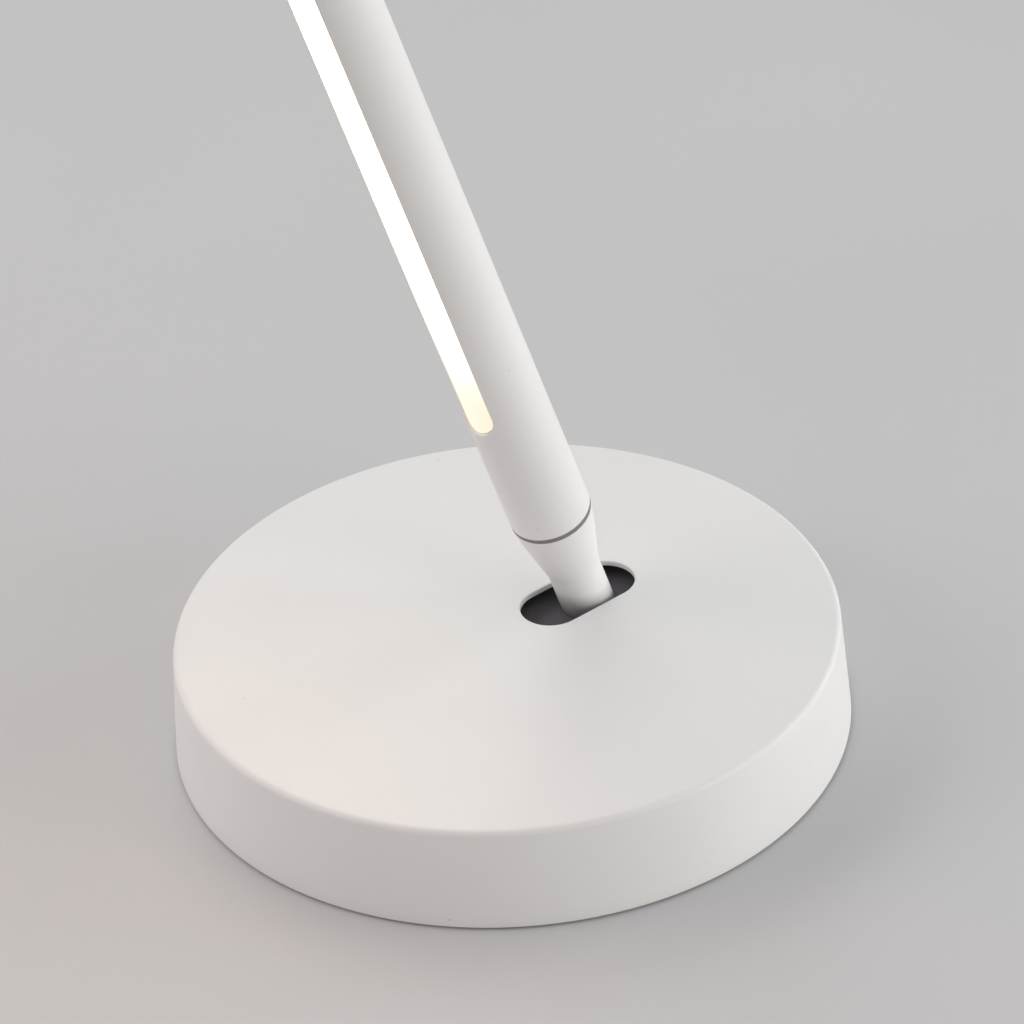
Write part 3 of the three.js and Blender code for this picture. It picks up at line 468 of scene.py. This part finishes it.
def opal_glow(name):
    """The lit opal cover: an even warm white that fades towards its ends."""
    opal = Finish(name)
    split = opal.node("ShaderNodeSeparateXYZ", {"Vector": opal.place})
    across, along = split.outputs["Y"], split.outputs["Z"]
    up = opal.between(along, WINDOW_LOW + GLOW_START, WINDOW_LOW + GLOW_FULL, 0, 1)
    down = opal.between(along, WINDOW_HIGH - GLOW_START, WINDOW_HIGH - GLOW_FULL, 0, 1)
    side = opal.between(across, 0, WINDOW_WIDTH / 2, 0, GLOW_SIDE_LOSS)
    near_end = opal.between(along, WINDOW_LOW, WINDOW_LOW + GLOW_SIDE, 1, 0)
    dimmed = opal.between(opal.multiply(side, near_end), 0, 1, 1, 0)
    to_axis = opal.node("ShaderNodeVectorMath", {"Vector": opal.stretch((1, 1, 0))},
                        operation="LENGTH").outputs["Value"]
    edge = [STRIP_RADIUS + height for height in GLOW_EDGE]
    proud = opal.between(to_axis, *edge, 0, GLOW)
    opal.set("Emission Color", opal.shades(opal.multiply(up, down), *GLOW_RAMP))
    opal.set("Emission Strength", opal.multiply(proud, dimmed))
    opal.set("Base Color", opal.shades(
        opal.noise(40, 3), (0.3, (0.66, 0.63, 0.57)), (0.7, (0.70, 0.67, 0.61))))
    opal.set("Roughness", opal.between(opal.noise(400, 3), 0.3, 0.7, 0.34, 0.44))
    opal.set("Normal", opal.bump(opal.noise(1500, 2), 0.01 * MM))
    return opal.material


def record_colours():
    return {m["slot"]: tuple(m["base_color"]) for m in frame["record"]["materials"]}


def make_finishes():
    """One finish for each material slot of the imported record."""
    colour = record_colours()
    along_x = (60, 2600, 2600)
    along_z = (2600, 2600, 60)
    across = (2200, 2200, 2200)
    return {
        "base_white_coat": powder_coat("base_powder_coat", colour["base_white_coat"]),
        "lamp_white_coat": powder_coat(
            "lamp_powder_coat", colour["lamp_white_coat"], painted_shade=True),
        "opal_diffuser": opal_glow("opal_glow"),
        "black_plastic": moulded("black_plastic", colour["black_plastic"], 0.5),
        "grey_nylon": moulded("grey_nylon", colour["grey_nylon"], 0.55),
        "pad_rubber": rubber("pad_rubber", colour["pad_rubber"], 0.6, 1.6),
        # Painted light: the gaiter is drawn 2.3 to 2.8 times lighter than its own colour, standing in for the
        # light in the slot, with dust varying it between the two.
        "gaiter_rubber": rubber("gaiter_rubber", colour["gaiter_rubber"], 2.3, 2.8),
        "ballast_iron": cast_iron("ballast_iron", colour["ballast_iron"]),
        "zinc_steel": worked_metal("zinc_steel", colour["zinc_steel"], 0.38, along_x),
        "black_steel": worked_metal("black_steel", colour["black_steel"], 0.45, across),
        "spring_steel": worked_metal("spring_steel", colour["spring_steel"], 0.28, across),
        "brass_nipple": worked_metal("brass_nipple", colour["brass_nipple"], 0.3, across),
        "bare_aluminium": worked_metal(
            "bare_aluminium", colour["bare_aluminium"], 0.4, along_z),
        "white_board": circuit_board("white_board", colour["white_board"], (0.74, 0.74, 0.70)),
        "green_board": circuit_board("green_board", colour["green_board"], (0.05, 0.19, 0.09)),
        "fibre_washer": moulded("fibre_washer", colour["fibre_washer"], 0.8, 2400.0, 0.06 * MM),
        "lead_jacket": moulded("lead_jacket", colour["lead_jacket"], 0.5, 900.0, 0.02 * MM),
    }


FINISHES = make_finishes()


def finish_cad_nodes():
    """Gives every CAD node the finish of its slot. Those that stay shown keep it."""
    for part in frame["record"]["subparts"]:
        mesh = frame["nodes"][part["node"]].data
        mesh.materials.clear()
        mesh.materials.append(FINISHES[part["material_slot"]])


# ---- base ---------------------------------------------------------------------------

SLOT_END_STEPS = 72                    # points round each end of the slot
SLOT_SIDE_STEPS = 56                   # points along each side of the slot


def slot_spokes():
    """Anchor points on the slot's middle line, each with a direction out to its edge."""
    half = (SLOT_LENGTH - SLOT_WIDTH) / 2
    spokes = []
    for end in (1, -1):
        for i in range(SLOT_END_STEPS):
            angle = math.pi * (i / SLOT_END_STEPS - 0.5)
            out = Vector((end * math.cos(angle), end * math.sin(angle)))
            spokes.append((Vector((SLOT_X + end * half, 0)), out))
        for i in range(SLOT_SIDE_STEPS):
            along = end * half * (1 - 2 * i / SLOT_SIDE_STEPS)
            spokes.append((Vector((SLOT_X + along, 0)), Vector((0, end))))
    return spokes


SPOKES = slot_spokes()


def slot_row(offset, z):
    """The slot's outline, widened by an offset."""
    reach = SLOT_WIDTH / 2 + offset
    return [(*(anchor + out * reach), z) for anchor, out in SPOKES]


def round_row(radius, z):
    """A circle round the base with a point straight out from each point of the slot."""
    row = []
    centre = Vector((SLOT_X, 0))
    shoulder = BASE_TOP_RADIUS - BASE_FILLET
    for anchor, out in SPOKES:
        way = (anchor + out * SLOT_WIDTH / 2 - centre).normalized()
        along = way.dot(centre)
        far = math.sqrt(along * along - centre.length_squared + shoulder * shoulder) - along
        point = (centre + way * far).normalized() * radius
        row.append((*point, z))
    return row


def quarter(centre_radius, centre_z, radius, from_deg, to_deg, steps=12):
    """Rows of a rounded edge of the base, seen in section."""
    rows = []
    for i in range(steps + 1):
        angle = math.radians(from_deg + (to_deg - from_deg) * i / steps)
        rows.append(round_row(centre_radius + radius * math.cos(angle),
                              centre_z + radius * math.sin(angle)))
    return rows


def slot_edge(centre_z, radius, from_deg, to_deg, steps=5):
    """Rows of a rounded edge of the slot, whose centre lies outside the slot's wall."""
    rows = []
    for i in range(steps + 1):
        angle = math.radians(from_deg + (to_deg - from_deg) * i / steps)
        rows.append(slot_row(radius + radius * math.cos(angle),
                             centre_z + radius * math.sin(angle)))
    return rows


def blend_rows(first, second, shares):
    """Rows between two others, one for each share of the way."""
    pairs = [(Vector(a), Vector(b)) for a, b in zip(first, second)]
    return [[a.lerp(b, share) for a, b in pairs] for share in shares]


def cover_post(x, y):
    """A boss under the cover's top, with a blind hole for a screw from below."""
    root = BASE_TOP - SHEET / 2
    bottom = PLATE_TOP + 0.1 * MM
    hole_end = bottom + POST_HOLE_DEPTH
    post = turned("post", [
        (0, root, 0), (POST_RADIUS, root, 0), (POST_RADIUS, bottom, 0.4 * MM),
        (POST_HOLE_RADIUS, bottom, 0.2 * MM), (POST_HOLE_RADIUS, hole_end, 0),
        (0, hole_end, 0)], segments=48)
    post.data.transform(Matrix.Translation((x, y, 0)))
    return post


def base_cover():
    """A steel cover with a small rounded edge and a round-ended slot."""
    shoulder = BASE_TOP_RADIUS - BASE_FILLET
    shoulder_z = BASE_TOP - BASE_FILLET
    rim = 0.5 * MM
    lip = 0.45 * MM
    burr = 0.25 * MM
    underside = BASE_TOP - SHEET
    inside = BASE_FILLET - SHEET
    flat = (0.006, 0.03, 0.12, 0.3, 0.5, 0.7, 0.88, 0.97, 0.994)
    wall_steps = 10

    rows = slot_edge(underside + burr, burr, 270, 180)
    rows += slot_edge(BASE_TOP - lip, lip, 180, 90)
    rows += blend_rows(rows[-1], round_row(shoulder, BASE_TOP), flat)
    rows += quarter(shoulder, shoulder_z, BASE_FILLET, 90, 0)
    wall_top, wall_foot = rows[-1], round_row(BASE_RADIUS, BASE_RIM + rim)
    rows += blend_rows(wall_top, wall_foot, [i / wall_steps for i in range(1, wall_steps)])
    rows += quarter(BASE_RADIUS - rim, BASE_RIM + rim, rim, 0, -90, 5)
    rows += [round_row(BASE_RADIUS - SHEET + burr, BASE_RIM)]
    rows += [round_row(BASE_RADIUS - SHEET, BASE_RIM + burr)]
    rows += quarter(shoulder, shoulder_z, inside, 0, 90, 8)
    rows += blend_rows(rows[-1], rows[0], flat)
    bm = bmesh.new()
    bridge(bm, rows + rows[:1])
    cover = new_object("base_cover_shell", bm)

    for turn in POST_TURNS:
        angle = math.radians(turn)
        post = cover_post(POST_CIRCLE * math.cos(angle), POST_CIRCLE * math.sin(angle))
        combine(cover, post, "UNION")
    hole_start = (BASE_RADIUS - 8 * MM, 0, INLET_Z)
    hole_end = (BASE_RADIUS + 5 * MM, 0, INLET_Z)
    combine(cover, rod(INLET_RADIUS + GAP, hole_start, hole_end), "DIFFERENCE")
    place(cover, "base", "base_white_coat", "base_cover")


def base_pad():
    """The rubber disc that the lamp stands on."""
    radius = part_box("base_pad")[1].x
    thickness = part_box("base_pad")[1].z
    pad = turned("base_pad_rubber", [
        (0, 0, 0), (radius, 0, 0.4 * MM), (radius, thickness, 0.2 * MM),
        (0, thickness, 0)], segments=256)
    place(pad, "base", "pad_rubber", "base_pad")


def power_inlet():
    """A barrel socket: a rounded bezel, a grooved body and a pin in its bore."""
    low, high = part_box("dc_inlet")
    face = high.x
    length = face - low.x
    bezel = 1.5 * MM
    bezel_radius = high.y
    bore = 2.8 * MM
    bore_depth = 10 * MM
    pin = 1 * MM
    pin_end = length - 1 * MM
    crest = INLET_RADIUS
    root = crest - 0.35 * MM
    pitch = 0.9 * MM
    runout = 0.5 * MM

    corners = [(0, 0, 0), (crest - 0.6 * MM, 0, 0.2 * MM)]
    turns = int((length - bezel - 2 * runout) / pitch)
    for i in range(turns):
        start = runout + pitch * i
        corners += [(root, start, 0), (crest, start + 0.35 * pitch, 0),
                    (crest, start + 0.5 * pitch, 0), (root, start + 0.85 * pitch, 0)]
    corners += [
        (root, length - bezel, 0), (bezel_radius, length - bezel, 0.2 * MM),
        (bezel_radius, length, 0.6 * MM), (bore + 0.5 * MM, length, 0.1 * MM),
        (bore, length - 0.5 * MM, 0.1 * MM), (bore, length - bore_depth, 0),
        (pin, length - bore_depth, 0), (pin, pin_end, 0.4 * MM), (0, pin_end, 0)]
    inlet = turned("power_inlet", corners, segments=96)
    outwards = Matrix.Rotation(math.pi / 2, 4, "Y")
    inlet.data.transform(Matrix.Translation((low.x, 0, INLET_Z)) @ outwards)
    place(inlet, "base", "black_plastic", "dc_inlet")


# ---- neck ---------------------------------------------------------------------------


def flare(height):
    """The neck's radius at a height above the base, along its axis."""
    u = (height - NECK_CYLINDER) / (NECK_END - NECK_BASE - NECK_CYLINDER)
    share = FLARE_OPENING * u - FLARE_EASING * u * u
    return NECK_RADIUS + (TUBE_RADIUS - NECK_RADIUS) * share


def neck():
    """A turned shell: straight through the slot, then flaring to the tube's diameter."""
    steps = 20
    top = NECK_END - NECK_BASE
    heights = [NECK_CYLINDER + (top - NECK_CYLINDER) * i / steps for i in range(1, steps)]
    swell = [(flare(height), NECK_BASE + height, 0) for height in heights]
    shell = turned("neck_shell", [
        (SPIGOT_BORE, NECK_START, 0.2 * MM), (NECK_RADIUS, NECK_START, 0.4 * MM),
        (NECK_RADIUS, NECK_BASE + NECK_CYLINDER, 8 * MM), *swell,
        (TUBE_RADIUS, NECK_END, 0.15 * MM), (NIPPLE_BORE, NECK_END, 0.2 * MM),
        (NIPPLE_BORE, BORE_STEP, 0), (SPIGOT_BORE, BORE_STEP, 0)], segments=160, steps=6)
    grub_hole = rod(GRUB_RADIUS, (0, 5 * MM, GRUB_Z), (0, 12 * MM, GRUB_Z))
    combine(shell, grub_hole, "DIFFERENCE")
    pin_x = STOP_PIN_OFFSET
    pin_hole = rod(STOP_PIN_HOLE, (pin_x, 0, NECK_END - 6 * MM), (pin_x, 0, NECK_END + 1 * MM))
    combine(shell, pin_hole, "DIFFERENCE")
    place(shell, "neck", "lamp_white_coat", "neck", matrix=NECK_FRAME)


def gaiter_section(low, high, neck_x, neck_reach, out, far):
    """A closed section of the gaiter, from the neck's edge to its outer edge and back."""
    steps = 24
    sag = 0.4 * MM
    edge = 0.2 * MM
    rise = (high.z - low.z) / 2
    middle = (high.z + low.z) / 2
    near = Vector((neck_x, 0)) + neck_reach
    shares = [i / steps for i in range(steps + 1)]
    centre = [(near.lerp(far, share), middle - sag * math.sin(math.pi * share))
              for share in shares]
    top = [(*point, z + rise) for point, z in centre]
    bottom = [(*point, z - rise) for point, z in reversed(centre)]
    rim = near - out * edge
    return top + bottom + [(*rim, middle - rise + edge), (*rim, middle + rise - edge)]


def gaiter_half(side):
    """Half of the rubber sheet below the slot: side is 1 for its +X half, -1 for -X."""
    low, high = (Vector(corner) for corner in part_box("slot_gaiter"))
    height = (high.z + low.z) / 2 - PIVOT.z
    neck_x = PIVOT.x + height * TUBE_AXIS.x / TUBE_AXIS.z
    grip = NECK_RADIUS + GAITER_GRIP
    end_x = high.x if side > 0 else low.x
    along = abs(end_x - neck_x)
    half_width = high.y
    steps = 96
    sections = []
    for i in range(steps + 1):
        angle = math.pi * (i / steps - 0.5)
        out = Vector((side * math.cos(angle), math.sin(angle)))
        reach = Vector((out.x * grip / TUBE_AXIS.z, out.y * grip))
        to_edge = min(half_width / max(abs(out.y), MERGE), along / max(abs(out.x), MERGE))
        far = Vector((neck_x, 0)) + out * to_edge
        sections.append(gaiter_section(low, high, neck_x, reach, out, far))
    bm = bmesh.new()
    made = bridge(bm, sections)
    bm.faces.new(made[0])
    bm.faces.new(made[-1])
    half = new_object(f"slot_gaiter_{'front' if side > 0 else 'back'}", bm)

    bar_low, bar_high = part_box("gaiter_clamp_2" if side > 0 else "gaiter_clamp_1")
    x = (bar_low.x + bar_high.x) / 2
    for across in GAITER_SCREWS:
        hole = rod(GAITER_SCREW_HOLE, (x, across, low.z - 2 * MM), (x, across, high.z + 2 * MM))
        combine(half, hole, "DIFFERENCE")
    half.data.materials.clear()
    half.data.materials.append(FINISHES["gaiter_rubber"])
    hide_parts("slot_gaiter")
    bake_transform(half)


def swivel_washer():
    """The grey slip ring in the groove between the neck and the tube."""
    outer = TUBE_RADIUS - 0.1 * MM
    touch = 0.05 * MM
    start = NECK_END + touch
    end = TUBE_START - touch
    washer = turned("swivel_slip_ring", [
        (NIPPLE_BORE, start, 0.1 * MM), (outer, start, 0.1 * MM),
        (outer, end, 0.1 * MM), (NIPPLE_BORE, end, 0.1 * MM)], segments=160)
    pin_x = STOP_PIN_OFFSET
    hole = rod(STOP_PIN_HOLE, (pin_x, 0, start - 1 * MM), (pin_x, 0, end + 1 * MM))
    combine(washer, hole, "DIFFERENCE")
    place(washer, "neck", "grey_nylon", "swivel_washer", matrix=NECK_FRAME)


def flex_lead():
    """The curved stretch of lead at the tilt joint, from the base into the neck."""
    start = Vector(LEAD_START)
    end = NECK_FRAME @ Vector(LEAD_END)
    leaves = start + Vector(LEAD_LEAVES) * MM
    arrives = end + Vector(LEAD_ARRIVES) * MM
    curve = bpy.data.curves.new("flex_lead", "CURVE")
    curve.dimensions = "3D"
    curve.bevel_depth = LEAD_RADIUS
    curve.bevel_resolution = 6
    curve.use_fill_caps = True
    curve.resolution_u = 24
    spline = curve.splines.new("BEZIER")
    spline.bezier_points.add(1)
    first, last = spline.bezier_points
    first.co, first.handle_right = start, leaves
    first.handle_left = start * 2 - leaves
    last.handle_left, last.co = arrives, end
    last.handle_right = end * 2 - arrives
    path = bpy.data.objects.new("flex_path", curve)
    bm = bmesh.new()
    bm.from_mesh(bpy.data.meshes.new_from_object(path))
    bpy.data.objects.remove(path)
    lead = new_object("flex_lead", bm)
    lead.data.materials.append(FINISHES["lead_jacket"])
    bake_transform(lead)


# ---- tube ---------------------------------------------------------------------------

END_STEPS = 28                         # rows round each end of the window
SIDE_ROWS = 24                         # rows along the straight part of the window
TUBE_SEGMENTS = 112


def window_line(offset, width=WINDOW_WIDTH):
    """(z, half width) along the window's outline from its low end to its high end."""
    radius = width / 2
    reach = radius + offset
    inset = (WINDOW_WIDTH - width) / 2
    low = WINDOW_LOW + inset + radius
    high = WINDOW_HIGH - inset - radius
    line = []
    for i in range(END_STEPS + 1):
        angle = math.pi / 2 * i / END_STEPS
        line.append((low - reach * math.cos(angle), reach * math.sin(angle)))
    for i in range(1, SIDE_ROWS):
        line.append((low + (high - low) * i / SIDE_ROWS, reach))
    for i in range(END_STEPS + 1):
        angle = math.pi / 2 * (1 - i / END_STEPS)
        line.append((high + reach * math.cos(angle), reach * math.sin(angle)))
    return line


def open_arc(radius, half_width, z):
    """Points round the tube from one side of the window to the other, by way of its back."""
    start = math.asin(half_width / radius)
    row = []
    for i in range(TUBE_SEGMENTS + 1):
        angle = start + (2 * math.pi - 2 * start) * i / TUBE_SEGMENTS
        row.append((-radius * math.cos(angle), radius * math.sin(angle), z))
    return row


def tube_wall(line, radius, low_rows, high_rows):
    """Rows of the tube's outer or inner face: below, beside and above the window."""
    rows = [open_arc(r, 0, z) for r, z in low_rows]
    rows += [open_arc(radius, half_width, z) for z, half_width in line]
    rows += [open_arc(r, 0, z) for r, z in high_rows]
    return rows


def tube_housing():
    """The tube, with a long round-ended window milled through its -X side."""
    inside = TUBE_RADIUS - TUBE_WALL
    lip = 0.3 * MM
    rim = 0.2 * MM
    steps = 5

    def rim_rows(end, way):
        """(radius, z) points of the rounded rim, from inside the tube to its outer face."""
        points = [(inside, end)]
        for i in range(steps + 1):
            angle = math.pi / 2 * i / steps
            points.append((TUBE_RADIUS - rim + rim * math.sin(angle),
                           end + way * rim * (1 - math.cos(angle))))
        return points

    margin = [4 * MM, 14 * MM, 28 * MM, 42 * MM, 50 * MM]
    low_rim = rim_rows(TUBE_START, 1)
    high_rim = rim_rows(TUBE_END, -1)
    outer_low = low_rim + [(TUBE_RADIUS, TUBE_START + m) for m in margin[:-1]]
    outer_high = [(TUBE_RADIUS, TUBE_END - m) for m in margin[-2::-1]] + high_rim[::-1]
    inner_low = [(inside, TUBE_START + m) for m in [0, *margin]]
    inner_high = [(inside, TUBE_END - m) for m in [*margin[::-1], 0]]

    bm = bmesh.new()
    bridge(bm, tube_wall(window_line(lip), TUBE_RADIUS, outer_low, outer_high), False)
    bridge(bm, tube_wall(window_line(0), inside, inner_low, inner_high), False)

    wall_steps = 3
    depths = [i / wall_steps for i in range(1, wall_steps + 1)]
    for side in (1, -1):
        layers = []
        for i in range(steps + 1):
            offset = lip * (1 - math.sin(math.pi / 2 * i / steps))
            sunk = lip * (1 - math.cos(math.pi / 2 * i / steps))
            layers.append([(-math.sqrt(TUBE_RADIUS ** 2 - y * y) + sunk, side * y, z)
                           for z, y in window_line(offset)])
        foot = [(-math.sqrt(inside ** 2 - y * y), side * y, z) for z, y in window_line(0)]
        layers += blend_rows(layers[-1], foot, depths)
        bridge(bm, layers, False)
    tube = new_object("tube_shell", bm)
    place(tube, "tube", "lamp_white_coat", "tube_housing", matrix=NECK_FRAME)


def strip_section(half_angle, inner, outer):
    """A curved band about -X, with square edges, as (x, y) points."""
    steps = 64
    angles = [-half_angle + 2 * half_angle * i / steps for i in range(steps + 1)]
    band = [(-outer * math.cos(a), outer * math.sin(a)) for a in angles]
    band += [(-inner * math.cos(a), inner * math.sin(a)) for a in reversed(angles)]
    return band


def diffuser():
    """The opal cover: a long curved strip, raised where it fills the window."""
    inner = STRIP_RADIUS - STRIP_THICKNESS
    section = strip_section(STRIP_HALF_ANGLE, inner, STRIP_RADIUS)
    rows = []
    for i in range(SIDE_ROWS + 1):
        z = STRIP_START + (STRIP_END - STRIP_START) * i / SIDE_ROWS
        rows.append([(x, y, z) for x, y in section])
    bm = bmesh.new()
    made = bridge(bm, rows)
    bm.faces.new(made[0])
    bm.faces.new(made[-1])
    strip = new_object("opal_strip", bm)

    width = WINDOW_WIDTH - 2 * GAP
    edge = 0.3 * MM
    root = STRIP_RADIUS - STRIP_THICKNESS / 2
    across = 24
    steps = 4
    layers = [[(-math.sqrt(root ** 2 - y * y), y, z) for z, y in window_line(0, width)]]
    for i in range(steps + 1):
        offset = -edge * (1 - math.cos(math.pi / 2 * i / steps))
        sunk = edge * (1 - math.sin(math.pi / 2 * i / steps))
        layers.append([(-math.sqrt(LAND_RADIUS ** 2 - y * y) + sunk, y, z)
                       for z, y in window_line(offset, width)])
    bm = bmesh.new()
    for side in (1, -1):
        bridge(bm, [[(x, side * y, z) for x, y, z in layer] for layer in layers], False)
    for radius, offset in ((root, 0), (LAND_RADIUS, -edge)):
        rows = []
        for i in range(across + 1):
            share = 2 * i / across - 1
            line = [(share * y, z) for z, y in window_line(offset, width)]
            rows.append([(-math.sqrt(radius ** 2 - y * y), y, z) for y, z in line])
        bridge(bm, rows, False)
    land = new_object("land", bm)
    combine(strip, land, "UNION")
    place(strip, "tube", "opal_diffuser", "diffuser", matrix=NECK_FRAME)


def top_cap():
    """The cap that closes the tube, with a hollow spigot inside it."""
    fit = TUBE_RADIUS - TUBE_WALL - GAP
    seat = TUBE_END + GAP
    wall = 1.6 * MM
    cap = turned("tube_cap", [
        (0, seat, 0), (fit - wall, seat, 0), (fit - wall, CAP_START, 0.2 * MM),
        (fit, CAP_START, 0.3 * MM), (fit, seat, 0), (TUBE_RADIUS, seat, 0.2 * MM),
        (TUBE_RADIUS, CAP_END, 0.6 * MM), (0, CAP_END, 0)], segments=160)
    place(cap, "tube", "lamp_white_coat", "top_cap", matrix=NECK_FRAME)


# ---- floor, lights and camera -------------------------------------------------------


FLOOR_RADIUS = 40.0
FLOOR_SHADES = ((0.3, (0.60, 0.595, 0.59)), (0.7, (0.62, 0.615, 0.61)))


def floor():
    """A plain pale floor that runs far past the lamp."""
    bm = bmesh.new()
    bmesh.ops.create_circle(bm, cap_ends=True, segments=96, radius=FLOOR_RADIUS)
    plane = new_object("floor", bm)
    pale = Finish("pale_floor")
    pale.set("Base Color", pale.shades(pale.noise(3, 2), *FLOOR_SHADES))
    pale.set("Roughness", 0.85)
    pale.set("Specular IOR Level", 0.2)
    plane.data.materials.append(pale.material)


def aim(obj, target):
    """Turns a light's -Z towards a point."""
    way = Vector(target) - obj.location
    obj.rotation_mode = "QUATERNION"
    obj.rotation_quaternion = way.to_track_quat("-Z", "Y")


WORLD_COLOUR = (0.96, 0.97, 1.0, 1)
WORLD_STRENGTH = 0.47
LIGHT_TARGET = (0, 0, 0.05)
KEY_BOX = (7.0, 2.0)                   # width and height of each kind of soft box
BACK_BOX = (6.0, 4.0)
LOW_BOX = (4.0, 1.4)
WIDE_GRID = math.radians(80)           # how far a soft box spreads its light
NARROW_GRID = math.radians(30)


def soft_light(name, azimuth, elevation, distance, size, power, colour, spread):
    """A soft box aimed at the base from a sphere round it, and hidden from the camera.

    Its azimuth and elevation are in degrees, its size in metres and its power in watts.
    """
    light = bpy.data.lights.new(name, "AREA")
    light.shape = "RECTANGLE"
    light.size, light.size_y = size
    light.spread = spread
    light.energy = power
    light.color = colour
    obj = bpy.data.objects.new(name, light)
    bpy.context.scene.collection.objects.link(obj)
    a, e = math.radians(azimuth), math.radians(elevation)
    obj.location = distance * Vector(
        (math.sin(a) * math.cos(e), -math.cos(a) * math.cos(e), math.sin(e)))
    aim(obj, LIGHT_TARGET)
    obj.visible_camera = False


def lights():
    world = bpy.data.worlds.new("studio")
    world.use_nodes = True
    background = world.node_tree.nodes["Background"]
    background.inputs["Color"].default_value = WORLD_COLOUR
    background.inputs["Strength"].default_value = WORLD_STRENGTH
    bpy.context.scene.world = world
    soft_light("key_front", 30, 20, 7.0, KEY_BOX, 14, (1.0, 0.93, 0.85), WIDE_GRID)
    soft_light("key_side", 70, 20, 7.0, KEY_BOX, 12, (0.5, 0.75, 1.0), WIDE_GRID)
    soft_light("back_right", 165, 35, 6.0, BACK_BOX, 29, (0.94, 0.99, 0.93), WIDE_GRID)
    soft_light("back_left", -130, 32, 6.0, BACK_BOX, 33, (1.0, 0.88, 0.88), WIDE_GRID)
    soft_light("low_front", 20, 10, 7.0, LOW_BOX, 4.6, (1.0, 0.87, 0.8), NARROW_GRID)
    soft_light("low_key", 50, 10, 7.0, LOW_BOX, 4.9, (0.88, 0.97, 1.0), NARROW_GRID)
    soft_light("low_side", 80, 10, 7.0, LOW_BOX, 5.2, (1.0, 0.92, 0.86), NARROW_GRID)


CAMERA_TARGET = Vector((60.5, 71.4, 29.9)) * MM
CAMERA_DISTANCE = 2950 * MM
CAMERA_AZIMUTH = math.radians(-37.06)
CAMERA_ELEVATION = math.radians(34.665)
CAMERA_ROLL = math.radians(-4.275)
CAMERA_LENS = 274.6
CAMERA_REACH = 200.0


def camera():
    """A long lens on the photograph's line of sight."""
    data = bpy.data.cameras.new("camera")
    data.lens = CAMERA_LENS
    data.clip_end = CAMERA_REACH
    obj = bpy.data.objects.new("camera", data)
    bpy.context.scene.collection.objects.link(obj)
    flat = math.cos(CAMERA_ELEVATION)
    back = Vector((math.sin(CAMERA_AZIMUTH) * flat, -math.cos(CAMERA_AZIMUTH) * flat,
                   math.sin(CAMERA_ELEVATION)))
    turn = (-back).to_track_quat("-Z", "Y").to_matrix().to_4x4()
    place_at = Matrix.Translation(CAMERA_TARGET + back * CAMERA_DISTANCE)
    obj.matrix_world = place_at @ turn @ Matrix.Rotation(CAMERA_ROLL, 4, "Z")
    bpy.context.scene.camera = obj


# ---- put together -------------------------------------------------------------------

finish_cad_nodes()
base_cover()
base_pad()
power_inlet()
neck()
gaiter_half(1)
gaiter_half(-1)
swivel_washer()
flex_lead()
tube_housing()
diffuser()
top_cap()
floor()
lights()
camera()
bpy.context.scene.view_settings.view_transform = "Standard"
